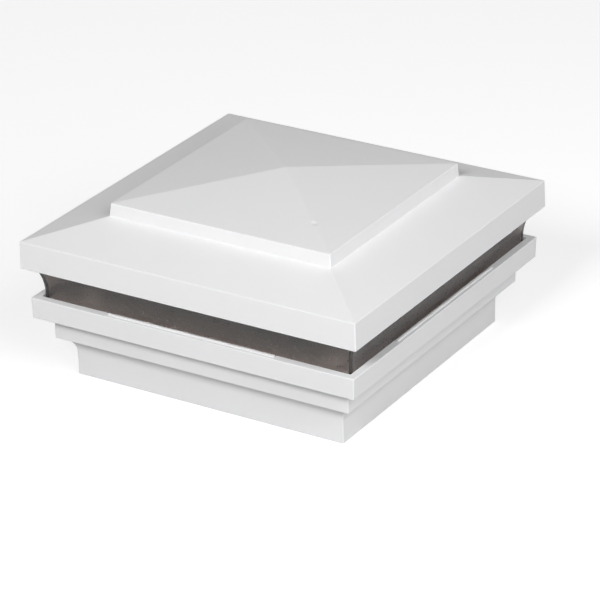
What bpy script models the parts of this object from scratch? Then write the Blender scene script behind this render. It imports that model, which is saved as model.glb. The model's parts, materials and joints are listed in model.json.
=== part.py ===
"""Lighted cap for a square fence post.

A stepped trim slips over the post. A deck closes the trim, stops the post and carries a small LED module.
A smoked lens ring stands on the deck, and a hipped lid pushes down over it on four pegs.
Metres, +Z up. The origin is the middle of the trim's lower rim, and -Y is the front.
"""
import math

import bmesh
import bpy
from mathutils import Matrix

# Post and trim
POST_WIDTH = 0.127
POST_CLEARANCE = 0.00075
TRIM_WALL = 0.00275
SKIRT_HEIGHT = 0.01865
COVE_HEIGHT = 0.008
COVE_LAND = 0.001
STEP_PROJECTION = 0.0066
STEP_HEIGHT = 0.01085
LEDGE_PROJECTION = 0.0068
LEDGE_HEIGHT = 0.0097
LEDGE_DRAFT = 0.0003
LEDGE_WIDTH = 0.0038
LIP_LENGTH = 0.083
LIP_WIDTH = 0.0012
LIP_HEIGHT = 0.00075
GRIP_RIB_HEIGHT = 0.0005
GRIP_RIB_WIDTH = 0.002
GRIP_RIB_SPACING = 0.07
GRIP_RIB_LENGTH = 0.012
BOSS_RADIUS = 0.0035

# Lens ring
BAND_HEIGHT = 0.0142
LENS_WALL = 0.0023
LENS_STRAIGHT = 0.0018
LENS_FLARE = 0.003
LENS_RIM_RISE = 0.0036
LENS_FLANGE = 0.009
LENS_CORNER_RADIUS = 0.0015

# Lid
LID_WALL = 0.0027
LID_GAP = 0.0008
EAVE_HEIGHT = 0.0125
EAVE_DRAFT = 0.00035
HIP_RUN = 0.02775
HIP_RISE = 0.0071
PLINTH_HEIGHT = 0.0059
PLINTH_DRAFT = 0.0005
PEAK_RISE = 0.0076
LID_RIB = 0.002
EDGE_RADIUS = 0.0008

# Pegs of the lid and their sockets
PEG_INSET = 0.02275
PEG_BOSS_RADIUS = 0.0035
PEG_RADIUS = 0.0022
PEG_LENGTH = 0.009
SOCKET_POST_RADIUS = 0.0052
SOCKET_POST_HEIGHT = 0.012
SOCKET_SLEEVE_WALL = 0.0008
SOCKET_FLANGE = 0.0015

# Deck
DECK_THICKNESS = 0.0026
STOP_PAD = 0.0009
STOP_PAD_MARGIN = 0.0015
DECK_RIB_HEIGHT = 0.0035
DECK_RIB_WIDTH = 0.002
STANDOFF_HEIGHT = 0.003
STANDOFF_RADIUS = 0.0032

# Seals and grommet
GASKET_THICKNESS = 0.0012
GASKET_MARGIN = 0.0002
SEAL_THICKNESS = 0.0015
SEAL_WIDTH = 0.0034
SEAL_INSET = 0.0046
GROMMET_BORE_RADIUS = 0.0035
GROMMET_NECK_WALL = 0.0012
GROMMET_FLANGE_RADIUS = 0.007
GROMMET_TOP_LIP = 0.0015
GROMMET_LOWER_LIP = 0.0012
GROMMET_MARGIN = 0.002

# Screws
SCREW_RADIUS = 0.00145
SCREW_HEAD_RADIUS = 0.0028
SCREW_HEAD_HEIGHT = 0.002
DECK_SCREW_LENGTH = 0.010
BOARD_SCREW_LENGTH = 0.009
SCREW_CLEARANCE = 0.00025

# LED module
SINK_MARGIN = 0.002
SINK_THICKNESS = 0.002
PAD_INSET = 0.008
PAD_THICKNESS = 0.0008
BOARD_WIDTH = 0.068
BOARD_THICKNESS = 0.0016
BOARD_HOLE_INSET = 0.004
LED_WIDTH = 0.005
LED_HEIGHT = 0.0015
LED_WELL_RADIUS = 0.002
LED_WELL_DEPTH = 0.0004
LED_INSET = 0.0055
LED_SPACING = 0.022
DRIVER_SPACING = 0.018
RECTIFIER_SIZE = (0.0062, 0.005, 0.0024)
INDUCTOR_SIZE = (0.0073, 0.0073, 0.004)
CHIP_SIZE = (0.005, 0.0039, 0.0016)
CHIP_LEG_PITCH = 0.00127
CAPACITOR_RADIUS = 0.004
CAPACITOR_HEIGHT = 0.0077

# Terminal block
POLE_PITCH = 0.00508
BLOCK_END_WALL = 0.0003
BLOCK_DEPTH = 0.009
BLOCK_FLOOR = 0.0008
BLOCK_ROOF = 0.0006
BLOCK_COLLAR = 0.0023
BLOCK_INSET = 0.001
CLAMP_WIDTH = 0.0036
CLAMP_DEPTH = 0.004
CLAMP_HEIGHT = 0.0045
CLAMP_WALL = 0.0006
CLAMP_TRAVEL = 0.0012
CLAMP_SCREW_RADIUS = 0.0011
CLAMP_SCREW_HEAD_RADIUS = 0.0018
CLAMP_SCREW_HEAD_HEIGHT = 0.0014
BAR_THICKNESS = 0.0005
BAR_WIDTH = 0.0018

# Gaps between pieces
SEAT_GAP = 0.0003
FIT_GAP = 0.0003
SOLDER_GAP = 0.0001

# Widths, as half of the square at each level
SOCKET_HALF = POST_WIDTH / 2 + POST_CLEARANCE
SKIRT_HALF = SOCKET_HALF + TRIM_WALL
STEP_HALF = SKIRT_HALF + STEP_PROJECTION
LEDGE_HALF = STEP_HALF + LEDGE_PROJECTION
LENS_HALF = LEDGE_HALF - LEDGE_WIDTH
LENS_INNER_HALF = LENS_HALF - LENS_WALL
LENS_RIM_HALF = LENS_HALF + LENS_FLARE
LEDGE_INNER_HALF = LENS_HALF + FIT_GAP
DRIP_INNER_HALF = LENS_RIM_HALF + LID_GAP
DRIP_HALF = DRIP_INNER_HALF + LID_WALL
EAVE_HALF = DRIP_HALF - EAVE_DRAFT
PLINTH_FOOT_HALF = EAVE_HALF - HIP_RUN
PLINTH_TOP_HALF = PLINTH_FOOT_HALF - PLINTH_DRAFT
DECK_HALF = LEDGE_INNER_HALF - FIT_GAP
STOP_PAD_HALF = SOCKET_HALF - GRIP_RIB_HEIGHT - STOP_PAD_MARGIN
DECK_RIB_HALF = LENS_INNER_HALF - FIT_GAP
SEAL_HALF = LENS_RIM_HALF - SEAL_INSET
LID_RIB_HALF = SEAL_HALF - SEAL_WIDTH / 2 + LID_RIB / 2
PEG_AT = EAVE_HALF - PEG_INSET
BOSS_AT = STEP_HALF - TRIM_WALL - BOSS_RADIUS + FIT_GAP
BOARD_HOLE_AT = BOARD_WIDTH / 2 - BOARD_HOLE_INSET
SINK_WIDTH = BOARD_WIDTH + 2 * SINK_MARGIN
PAD_WIDTH = BOARD_WIDTH - 2 * PAD_INSET

# Heights
STEP_Z = SKIRT_HEIGHT
LEDGE_Z = STEP_Z + STEP_HEIGHT
TRIM_TOP_Z = LEDGE_Z + LEDGE_HEIGHT
DRIP_Z = TRIM_TOP_Z + BAND_HEIGHT
EAVE_Z = DRIP_Z + EAVE_HEIGHT
PLINTH_FOOT_Z = EAVE_Z + HIP_RISE
PLINTH_TOP_Z = PLINTH_FOOT_Z + PLINTH_HEIGHT
PEAK_Z = PLINTH_TOP_Z + PEAK_RISE
SHELF_Z = LEDGE_Z + TRIM_WALL
DECK_Z = SHELF_Z + SEAT_GAP
STOP_Z = DECK_Z - STOP_PAD
DECK_TOP_Z = DECK_Z + DECK_THICKNESS
GASKET_Z = DECK_TOP_Z + SEAT_GAP
LENS_Z = GASKET_Z + GASKET_THICKNESS + SEAT_GAP
LENS_TOP_Z = DRIP_Z + LENS_RIM_RISE
SEAL_Z = LENS_TOP_Z + SEAT_GAP
LID_RIB_Z = SEAL_Z + SEAL_THICKNESS + SEAT_GAP
SOCKET_POST_Z = DECK_TOP_Z + SOCKET_POST_HEIGHT
SOCKET_TOP_Z = SOCKET_POST_Z + SEAT_GAP + SOCKET_FLANGE
PEG_SHOULDER_Z = SOCKET_TOP_Z + SEAT_GAP
PEG_TIP_Z = PEG_SHOULDER_Z - PEG_LENGTH
STANDOFF_Z = DECK_TOP_Z + STANDOFF_HEIGHT
SINK_Z = STANDOFF_Z + SEAT_GAP
PAD_Z = SINK_Z + SINK_THICKNESS + SOLDER_GAP
BOARD_Z = PAD_Z + PAD_THICKNESS + SOLDER_GAP
BOARD_TOP_Z = BOARD_Z + BOARD_THICKNESS
CHIPS_Z = BOARD_TOP_Z + SOLDER_GAP

# Grommet, beside the module at the back
WIRE_AT = (0.0, SINK_WIDTH / 2 + GROMMET_MARGIN + GROMMET_FLANGE_RADIUS)
WIRE_HOLE_RADIUS = GROMMET_BORE_RADIUS + GROMMET_NECK_WALL + FIT_GAP
WIRE_RECESS_RADIUS = GROMMET_FLANGE_RADIUS + FIT_GAP
WIRE_RECESS_Z = STOP_Z + GROMMET_LOWER_LIP + 2 * SEAT_GAP

# Terminal block, with its wire entries facing the grommet
BLOCK_AT = (0.0, BOARD_WIDTH / 2 - BLOCK_INSET - BLOCK_DEPTH / 2)
BLOCK_WIDTH = 2 * POLE_PITCH + 2 * BLOCK_END_WALL
CELL_HALF_X = CLAMP_WIDTH / 2 + FIT_GAP
CELL_HALF_Y = CLAMP_DEPTH / 2 + FIT_GAP
CLAMP_Z = CHIPS_Z + BLOCK_FLOOR + FIT_GAP
CELL_TOP_Z = CLAMP_Z + CLAMP_HEIGHT + CLAMP_TRAVEL + FIT_GAP
CLAMP_SEAT_Z = CELL_TOP_Z + BLOCK_ROOF
BLOCK_TOP_Z = CLAMP_SEAT_Z + BLOCK_COLLAR
BAR_TOP_Z = CLAMP_Z + CLAMP_HEIGHT - CLAMP_WALL - FIT_GAP
BAR_BACK_Y = BLOCK_AT[1] - CELL_HALF_Y - 2 * FIT_GAP - BAR_THICKNESS
BAR_FRONT_Y = BLOCK_AT[1] + CLAMP_DEPTH / 2 - FIT_GAP

CORNERS = {
    "front_left": (-1, -1),
    "front_right": (1, -1),
    "back_right": (1, 1),
    "back_left": (-1, 1),
}
SIDES = {"left": -1, "right": 1}
OVERLAP = 0.0004
CUT_PAST = 0.001


def new_collection(name):
    made = bpy.data.collections.new(name)
    bpy.context.scene.collection.children.link(made)
    return made


def make_material(name, colour, roughness, metallic=0.0, alpha=1.0):
    made = bpy.data.materials.new(name)
    made.use_nodes = True
    shader = made.node_tree.nodes["Principled BSDF"]
    shader.inputs["Base Color"].default_value = (*colour, 1.0)
    shader.inputs["Roughness"].default_value = roughness
    shader.inputs["Metallic"].default_value = metallic
    shader.inputs["Alpha"].default_value = alpha
    return made


def add_part(name, mesh, look, at=(0.0, 0.0, 0.0), turn=0.0):
    part = bpy.data.objects.new(name, mesh)
    if not mesh.materials:
        mesh.materials.append(LOOKS[look])
    part.location = at
    part.rotation_euler.z = turn
    PARTS.objects.link(part)
    return part


def add_helper(name, mesh):
    helper = bpy.data.objects.new(name, mesh)
    helper.hide_render = True
    helper.display_type = "WIRE"
    HELPERS.objects.link(helper)
    return helper


def outline_mesh(name, points, closed):
    mesh = bpy.data.meshes.new(name)
    edges = [(i, i + 1) for i in range(len(points) - 1)]
    if closed:
        edges.append((len(points) - 1, 0))
    mesh.from_pydata(points, edges, [])
    return mesh


def add_turning(part, steps):
    screw = part.modifiers.new("Turn", "SCREW")
    screw.axis = "Z"
    screw.angle = 2 * math.pi
    screw.steps = steps
    screw.render_steps = steps
    screw.use_smooth_shade = False
    screw.use_merge_vertices = True
    screw.merge_threshold = 0.00001


def square_turned(name, outline, look, closed=True):
    """A square moulding: the outline of half-widths and heights stands on the diagonal and turns in four steps."""
    points = [(half, half, z) for half, z in outline]
    part = add_part(name, outline_mesh(name, points, closed), look)
    add_turning(part, 4)
    return part


def round_turned(name, outline, look, closed=False, steps=24, at=(0.0, 0.0, 0.0)):
    points = [(radius, 0.0, z) for radius, z in outline]
    part = add_part(name, outline_mesh(name, points, closed), look, at)
    add_turning(part, steps)
    return part


def add_bevel(part, width, segments=2, angle=55.0):
    bevel = part.modifiers.new("Edges", "BEVEL")
    bevel.width = width
    bevel.segments = segments
    bevel.limit_method = "ANGLE"
    bevel.angle_limit = math.radians(angle)


def add_boolean(part, helper, operation):
    boolean = part.modifiers.new(helper.name, "BOOLEAN")
    boolean.operation = operation
    boolean.solver = "EXACT"
    boolean.object = helper


def cylinders(name, centres, radius, low, high, segments=24):
    builder = bmesh.new()
    for x, y in centres:
        bmesh.ops.create_cone(
            builder,
            cap_ends=True,
            segments=segments,
            radius1=radius,
            radius2=radius,
            depth=high - low,
            matrix=Matrix.Translation((x, y, (low + high) / 2)),
        )
    mesh = bpy.data.meshes.new(name)
    builder.to_mesh(mesh)
    builder.free()
    return mesh


def boxes(name, spans):
    """Boxes, each given by its lowest and highest corner."""
    builder = bmesh.new()
    for low, high in spans:
        middle = [(a + b) / 2 for a, b in zip(low, high)]
        size = [b - a for a, b in zip(low, high)]
        place = Matrix.Translation(middle) @ Matrix.Diagonal((*size, 1.0))
        bmesh.ops.create_cube(builder, size=1.0, matrix=place)
    mesh = bpy.data.meshes.new(name)
    builder.to_mesh(mesh)
    builder.free()
    return mesh


def join_cylinders(part, name, centres, radius, low, high):
    add_boolean(part, add_helper(name, cylinders(name, centres, radius, low, high)), "UNION")


def cut_cylinders(part, name, centres, radius, low, high):
    add_boolean(part, add_helper(name, cylinders(name, centres, radius, low, high)), "DIFFERENCE")


def join_boxes(part, name, spans):
    add_boolean(part, add_helper(name, boxes(name, spans)), "UNION")


def cut_boxes(part, name, spans):
    add_boolean(part, add_helper(name, boxes(name, spans)), "DIFFERENCE")


def finished_mesh(part):
    """The part's mesh with its modifiers applied. The part itself goes."""
    graph = bpy.context.evaluated_depsgraph_get()
    mesh = bpy.data.meshes.new_from_object(part.evaluated_get(graph))
    bpy.data.objects.remove(part)
    return mesh


def block_mesh(size):
    width, depth, height = size
    return boxes("block", [((-width / 2, -depth / 2, 0.0), (width / 2, depth / 2, height))])


def at_corners(distance):
    return [(x * distance, y * distance) for x, y in CORNERS.values()]


def arc(centre, radius, start, end, count):
    """Points on an arc, from one angle to another."""
    angles = [start + (end - start) * i / count for i in range(count + 1)]
    return [(centre[0] + radius * math.cos(a), centre[1] + radius * math.sin(a)) for a in angles]


def four_sides(spans):
    """The spans, given for the front, turned onto all four sides."""
    turned = []
    for (x0, y0, z0), (x1, y1, z1) in spans:
        turned.append(((x0, y0, z0), (x1, y1, z1)))
        turned.append(((-x1, -y1, z0), (-x0, -y0, z1)))
        turned.append(((-y1, x0, z0), (-y0, x1, z1)))
        turned.append(((y0, -x1, z0), (y1, -x0, z1)))
    return turned


def make_base_trim():
    cove_depth = STEP_PROJECTION - COVE_LAND
    cove_radius = (COVE_HEIGHT**2 + cove_depth**2) / (2 * cove_depth)
    cove_centre = (SKIRT_HALF + cove_radius, STEP_Z - COVE_HEIGHT)
    cove_start = math.pi - math.asin(COVE_HEIGHT / cove_radius)
    outline = [
        (LEDGE_HALF, TRIM_TOP_Z),
        (LEDGE_HALF - LEDGE_DRAFT, LEDGE_Z),
        (STEP_HALF, LEDGE_Z),
        (STEP_HALF, STEP_Z),
        *arc(cove_centre, cove_radius, cove_start, math.pi, 8),
        (SKIRT_HALF, 0.0),
        (SOCKET_HALF, 0.0),
        (SOCKET_HALF, STEP_Z + TRIM_WALL),
        (STEP_HALF - TRIM_WALL, STEP_Z + TRIM_WALL),
        (STEP_HALF - TRIM_WALL, SHELF_Z),
        (LEDGE_INNER_HALF, SHELF_Z),
        (LEDGE_INNER_HALF, TRIM_TOP_Z),
    ]
    trim = square_turned("base_trim", outline, "white_asa")
    add_bevel(trim, EDGE_RADIUS)
    join_cylinders(trim, "trim_bosses", at_corners(BOSS_AT), BOSS_RADIUS, STEP_Z + TRIM_WALL / 2, SHELF_Z)
    pilot = SCREW_RADIUS + SCREW_CLEARANCE
    lowest = DECK_TOP_Z - DECK_SCREW_LENGTH - CUT_PAST
    cut_cylinders(trim, "trim_pilots", at_corners(BOSS_AT), pilot, lowest, SHELF_Z + CUT_PAST)
    lip_back = -LEDGE_INNER_HALF - EDGE_RADIUS
    lip = (
        (-LIP_LENGTH / 2, lip_back - LIP_WIDTH, TRIM_TOP_Z - OVERLAP),
        (LIP_LENGTH / 2, lip_back, TRIM_TOP_Z + LIP_HEIGHT),
    )
    join_boxes(trim, "trim_lips", four_sides([lip]))
    ribs = []
    for side in SIDES.values():
        middle = side * GRIP_RIB_SPACING / 2
        low = (middle - GRIP_RIB_WIDTH / 2, -SOCKET_HALF - OVERLAP, STEP_Z - GRIP_RIB_LENGTH)
        high = (middle + GRIP_RIB_WIDTH / 2, -SOCKET_HALF + GRIP_RIB_HEIGHT, STEP_Z)
        ribs.append((low, high))
    join_boxes(trim, "trim_grip_ribs", four_sides(ribs))


def make_deck_plate():
    outline = [
        (0.0, DECK_TOP_Z),
        (DECK_RIB_HALF - DECK_RIB_WIDTH, DECK_TOP_Z),
        (DECK_RIB_HALF - DECK_RIB_WIDTH, DECK_TOP_Z + DECK_RIB_HEIGHT),
        (DECK_RIB_HALF, DECK_TOP_Z + DECK_RIB_HEIGHT),
        (DECK_RIB_HALF, DECK_TOP_Z),
        (DECK_HALF, DECK_TOP_Z),
        (DECK_HALF, DECK_Z),
        (STOP_PAD_HALF, DECK_Z),
        (STOP_PAD_HALF, STOP_Z),
        (0.0, STOP_Z),
    ]
    deck = square_turned("deck_plate", outline, "white_abs", closed=False)
    inside = DECK_Z + DECK_THICKNESS / 2
    join_cylinders(deck, "deck_socket_posts", at_corners(PEG_AT), SOCKET_POST_RADIUS, inside, SOCKET_POST_Z)
    join_cylinders(deck, "deck_standoffs", at_corners(BOARD_HOLE_AT), STANDOFF_RADIUS, inside, STANDOFF_Z)
    sleeve = PEG_RADIUS + FIT_GAP + SOCKET_SLEEVE_WALL + FIT_GAP
    cut_cylinders(deck, "deck_socket_bores", at_corners(PEG_AT), sleeve, inside, SOCKET_POST_Z + CUT_PAST)
    hole = SCREW_RADIUS + SCREW_CLEARANCE
    lowest = BOARD_TOP_Z - BOARD_SCREW_LENGTH - FIT_GAP
    cut_cylinders(deck, "deck_board_pilots", at_corners(BOARD_HOLE_AT), hole, lowest, STANDOFF_Z + CUT_PAST)
    low, high = DECK_Z - CUT_PAST, DECK_TOP_Z + CUT_PAST
    cut_cylinders(deck, "deck_screw_holes", at_corners(BOSS_AT), hole, low, high)
    low = STOP_Z - CUT_PAST
    cut_cylinders(deck, "deck_wire_hole", [WIRE_AT], WIRE_HOLE_RADIUS, low, high)
    cut_cylinders(deck, "deck_wire_recess", [WIRE_AT], WIRE_RECESS_RADIUS, low, WIRE_RECESS_Z)


def make_lens_ring():
    rise = BAND_HEIGHT - LENS_STRAIGHT
    radius = (rise ** 2 + LENS_FLARE ** 2) / (2 * LENS_FLARE)
    centre = (LENS_HALF + radius, TRIM_TOP_Z + LENS_STRAIGHT)
    top_angle = math.pi - math.asin(rise / radius)
    outer = arc(centre, radius, top_angle, math.pi, 6)
    inner = arc(centre, radius + LENS_WALL, math.pi, top_angle, 6)
    flange_half = LENS_RIM_HALF - LENS_FLANGE
    outline = [
        (LENS_RIM_HALF, LENS_TOP_Z),
        *outer,
        (LENS_HALF, LENS_Z),
        (LENS_INNER_HALF, LENS_Z),
        *inner,
        (inner[-1][0], LENS_TOP_Z - LENS_WALL),
        (flange_half, LENS_TOP_Z - LENS_WALL),
        (flange_half, LENS_TOP_Z),
    ]
    mesh = finished_mesh(square_turned("lens_ring", outline, "smoked_pc"))
    builder = bmesh.new()
    builder.from_mesh(mesh)
    upright = []
    for edge in builder.edges:
        run = edge.verts[0].co - edge.verts[1].co
        if abs(run.z) > abs(run.x) and edge.is_convex and edge.calc_face_angle(0.0) > 1.0:
            upright.append(edge)
    bmesh.ops.bevel(builder, geom=upright, offset=LENS_CORNER_RADIUS, segments=3, profile=0.5, affect="EDGES")
    builder.to_mesh(mesh)
    builder.free()
    add_part("lens_ring", mesh, "smoked_pc")


def make_top_cap():
    hip = HIP_RISE / HIP_RUN
    hip_drop = LID_WALL * math.hypot(1.0, hip)
    peak = PEAK_RISE / PLINTH_TOP_HALF
    peak_drop = LID_WALL * math.hypot(1.0, peak)

    def roof(half):
        return EAVE_Z + (EAVE_HALF - half) * hip

    def ceiling(half):
        return roof(half) - hip_drop

    eave_inner = EAVE_HALF - LID_WALL
    rib_inner = LID_RIB_HALF - LID_RIB
    plinth_foot = PLINTH_FOOT_HALF - LID_WALL
    plinth_top = PLINTH_TOP_HALF - LID_WALL
    outline = [
        (0.0, PEAK_Z),
        (PLINTH_TOP_HALF, PLINTH_TOP_Z),
        (PLINTH_FOOT_HALF, PLINTH_FOOT_Z),
        (EAVE_HALF, EAVE_Z),
        (DRIP_HALF, DRIP_Z),
        (DRIP_INNER_HALF, DRIP_Z),
        (eave_inner, ceiling(eave_inner)),
        (LID_RIB_HALF, ceiling(LID_RIB_HALF)),
        (LID_RIB_HALF, LID_RIB_Z),
        (rib_inner, LID_RIB_Z),
        (rib_inner, ceiling(rib_inner)),
        (plinth_foot, ceiling(plinth_foot)),
        (plinth_top, PEAK_Z - peak * plinth_top - peak_drop),
        (0.0, PEAK_Z - peak_drop),
    ]
    cap = square_turned("top_cap", outline, "white_asa", closed=False)
    add_bevel(cap, EDGE_RADIUS)
    boss_top = (roof(PEG_AT + PEG_BOSS_RADIUS) + ceiling(PEG_AT - PEG_BOSS_RADIUS)) / 2
    join_cylinders(cap, "cap_bosses", at_corners(PEG_AT), PEG_BOSS_RADIUS, PEG_SHOULDER_Z, boss_top)
    inside = PEG_SHOULDER_Z + PEG_BOSS_RADIUS
    join_cylinders(cap, "cap_pegs", at_corners(PEG_AT), PEG_RADIUS, PEG_TIP_Z, inside)


def make_seals():
    outer = LENS_HALF - GASKET_MARGIN
    inner = LENS_INNER_HALF + GASKET_MARGIN
    high = GASKET_Z + GASKET_THICKNESS
    square_turned("lens_gasket", [(outer, high), (outer, GASKET_Z), (inner, GASKET_Z), (inner, high)], "epdm")
    inner = SEAL_HALF - SEAL_WIDTH
    high = SEAL_Z + SEAL_THICKNESS
    square_turned("rim_seal", [(SEAL_HALF, high), (SEAL_HALF, SEAL_Z), (inner, SEAL_Z), (inner, high)], "epdm")


def make_grommet():
    neck = GROMMET_BORE_RADIUS + GROMMET_NECK_WALL
    top = DECK_TOP_Z + SEAT_GAP
    low = WIRE_RECESS_Z - SEAT_GAP
    outline = [
        (GROMMET_FLANGE_RADIUS, top + GROMMET_TOP_LIP),
        (GROMMET_FLANGE_RADIUS, top),
        (neck, top),
        (neck, low),
        (GROMMET_FLANGE_RADIUS, low),
        (GROMMET_FLANGE_RADIUS, low - GROMMET_LOWER_LIP),
        (GROMMET_BORE_RADIUS, low - GROMMET_LOWER_LIP),
        (GROMMET_BORE_RADIUS, top + GROMMET_TOP_LIP),
    ]
    round_turned("wire_grommet", outline, "epdm", closed=True, at=(*WIRE_AT, 0.0))


def make_peg_sockets():
    bore = PEG_RADIUS + FIT_GAP
    sleeve = bore + SOCKET_SLEEVE_WALL
    seat = SOCKET_POST_Z + SEAT_GAP
    low = PEG_TIP_Z - FIT_GAP
    outline = [
        (SOCKET_POST_RADIUS, SOCKET_TOP_Z),
        (SOCKET_POST_RADIUS, seat),
        (sleeve, seat),
        (sleeve, low),
        (bore, low),
        (bore, SOCKET_TOP_Z),
    ]
    mesh = finished_mesh(round_turned("peg_socket", outline, "epdm", closed=True))
    for corner, (x, y) in CORNERS.items():
        add_part("peg_socket_" + corner, mesh, "epdm", (x * PEG_AT, y * PEG_AT, 0.0))


def screw_mesh(length):
    """A pan-head screw with a cross recess. Its origin is under the head."""
    height = SCREW_HEAD_HEIGHT
    radius = SCREW_HEAD_RADIUS
    outline = [
        (0.0, height),
        (0.6 * radius, height),
        (0.9 * radius, 0.75 * height),
        (radius, 0.3 * height),
        (radius, 0.0),
        (SCREW_RADIUS, 0.0),
        (SCREW_RADIUS, SCREW_RADIUS - length),
        (0.0, -length),
    ]
    screw = round_turned("screw", outline, "steel", steps=20)
    arm, half, low = 0.55 * radius, 0.12 * radius, 0.5 * height
    across = ((-arm, -half, low), (arm, half, height + CUT_PAST))
    along = ((-half, -arm, low), (half, arm, height + CUT_PAST))
    cut_boxes(screw, "recess_across", [across])
    cut_boxes(screw, "recess_along", [along])
    return finished_mesh(screw)


def make_screws():
    deck_screw = screw_mesh(DECK_SCREW_LENGTH)
    board_screw = screw_mesh(BOARD_SCREW_LENGTH)
    for corner, (x, y) in CORNERS.items():
        place = (x * BOSS_AT, y * BOSS_AT, DECK_TOP_Z + SOLDER_GAP)
        add_part("deck_screw_" + corner, deck_screw, "steel", place, 0.4 * x)
        place = (x * BOARD_HOLE_AT, y * BOARD_HOLE_AT, BOARD_TOP_Z + SOLDER_GAP)
        add_part("board_screw_" + corner, board_screw, "steel", place, 0.7 * y)


def make_led_board():
    sink = add_part("heat_sink", block_mesh((SINK_WIDTH, SINK_WIDTH, SINK_THICKNESS)), "aluminium")
    sink.location.z = SINK_Z
    add_bevel(sink, SINK_THICKNESS / 8, 1)
    pad = add_part("thermal_pad", block_mesh((PAD_WIDTH, PAD_WIDTH, PAD_THICKNESS)), "silicone")
    pad.location.z = PAD_Z
    board = add_part("led_board", block_mesh((BOARD_WIDTH, BOARD_WIDTH, BOARD_THICKNESS)), "solder_mask")
    board.location.z = BOARD_Z
    hole = SCREW_RADIUS + SCREW_CLEARANCE
    low, high = SINK_Z - CUT_PAST, BOARD_TOP_Z + CUT_PAST
    holes = add_helper("module_holes", cylinders("module_holes", at_corners(BOARD_HOLE_AT), hole, low, high))
    add_boolean(sink, holes, "DIFFERENCE")
    add_boolean(board, holes, "DIFFERENCE")


def make_leds():
    led = add_part("led", block_mesh((LED_WIDTH, LED_WIDTH, LED_HEIGHT)), "led_package")
    well = (LED_HEIGHT - LED_WELL_DEPTH, LED_HEIGHT + CUT_PAST)
    cut_cylinders(led, "led_well", [(0.0, 0.0)], LED_WELL_RADIUS, *well)
    mesh = finished_mesh(led)
    row = BOARD_WIDTH / 2 - LED_INSET
    rows = {"front": -90, "right": 0, "back": 90, "left": 180}
    for side, degrees in rows.items():
        turn = math.radians(degrees)
        for end, step in (("a", -0.5), ("b", 0.5)):
            along = step * LED_SPACING
            x = row * math.cos(turn) - along * math.sin(turn)
            y = row * math.sin(turn) + along * math.cos(turn)
            add_part("led_" + side + "_" + end, mesh, "led_package", (x, y, CHIPS_Z), turn)


def make_driver_parts():
    away = DRIVER_SPACING / 2
    rectifier = add_part("rectifier", block_mesh(RECTIFIER_SIZE), "black_epoxy", (-away, away, CHIPS_Z))
    add_bevel(rectifier, RECTIFIER_SIZE[2] / 10, 1)
    inductor = add_part("inductor", block_mesh(INDUCTOR_SIZE), "ferrite", (away, -away, CHIPS_Z))
    add_bevel(inductor, INDUCTOR_SIZE[2] / 6)
    chip = add_part("driver_chip", block_mesh(CHIP_SIZE), "black_epoxy", (-away, -away, CHIPS_Z))
    length, depth, height = CHIP_SIZE
    legs = []
    for place in range(4):
        x = -away + (place - 1.5) * CHIP_LEG_PITCH
        low = (x - CHIP_LEG_PITCH / 6, -away - 0.75 * depth, CHIPS_Z)
        high = (x + CHIP_LEG_PITCH / 6, -away + 0.75 * depth, CHIPS_Z + 0.2 * height)
        legs.append((low, high))
    chip.data.transform(Matrix.Translation((0.0, 0.0, 0.1 * height)))
    join_boxes(chip, "chip_legs", legs)
    radius = CAPACITOR_RADIUS
    outline = [
        (0.0, CAPACITOR_HEIGHT),
        (0.9 * radius, CAPACITOR_HEIGHT),
        (radius, 0.97 * CAPACITOR_HEIGHT),
        (radius, 0.3 * CAPACITOR_HEIGHT),
        (0.93 * radius, 0.25 * CAPACITOR_HEIGHT),
        (radius, 0.2 * CAPACITOR_HEIGHT),
        (radius, 0.0),
        (0.0, 0.0),
    ]
    round_turned("capacitor", outline, "aluminium", at=(away, away, CHIPS_Z))


def make_terminal_block():
    x, y = BLOCK_AT
    low = (x - BLOCK_WIDTH / 2, y - BLOCK_DEPTH / 2, CHIPS_Z)
    high = (x + BLOCK_WIDTH / 2, y + BLOCK_DEPTH / 2, BLOCK_TOP_Z)
    block = add_part("terminal_block", boxes("terminal_block", [(low, high)]), "green_pa")
    poles = [x + side * POLE_PITCH / 2 for side in SIDES.values()]
    cells, entries, slots = [], [], []
    entry_half = CLAMP_WIDTH / 2 - CLAMP_WALL
    slot_half = BAR_WIDTH / 2 + FIT_GAP
    for pole in poles:
        low = (pole - CELL_HALF_X, y - CELL_HALF_Y, CHIPS_Z + BLOCK_FLOOR)
        cells.append((low, (pole + CELL_HALF_X, y + CELL_HALF_Y, CELL_TOP_Z)))
        low = (pole - entry_half, y, CLAMP_Z + CLAMP_WALL)
        entries.append((low, (pole + entry_half, high[1] + CUT_PAST, BAR_TOP_Z - BAR_THICKNESS)))
        low = (pole - slot_half, BAR_BACK_Y - FIT_GAP, CHIPS_Z - CUT_PAST)
        slots.append((low, (pole + slot_half, y, BAR_TOP_Z + FIT_GAP)))
    cut_boxes(block, "block_cells", cells)
    cut_boxes(block, "block_entries", entries)
    cut_boxes(block, "block_slots", slots)
    centres = [(pole, y) for pole in poles]
    neck = CLAMP_SCREW_RADIUS + FIT_GAP
    cut_cylinders(block, "block_necks", centres, neck, CLAMP_Z + CLAMP_HEIGHT, BLOCK_TOP_Z)
    collar = CLAMP_SCREW_HEAD_RADIUS + FIT_GAP
    cut_cylinders(block, "block_collars", centres, collar, CLAMP_SEAT_Z, BLOCK_TOP_Z + CUT_PAST)
    make_terminal_metal(poles, y)


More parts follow.
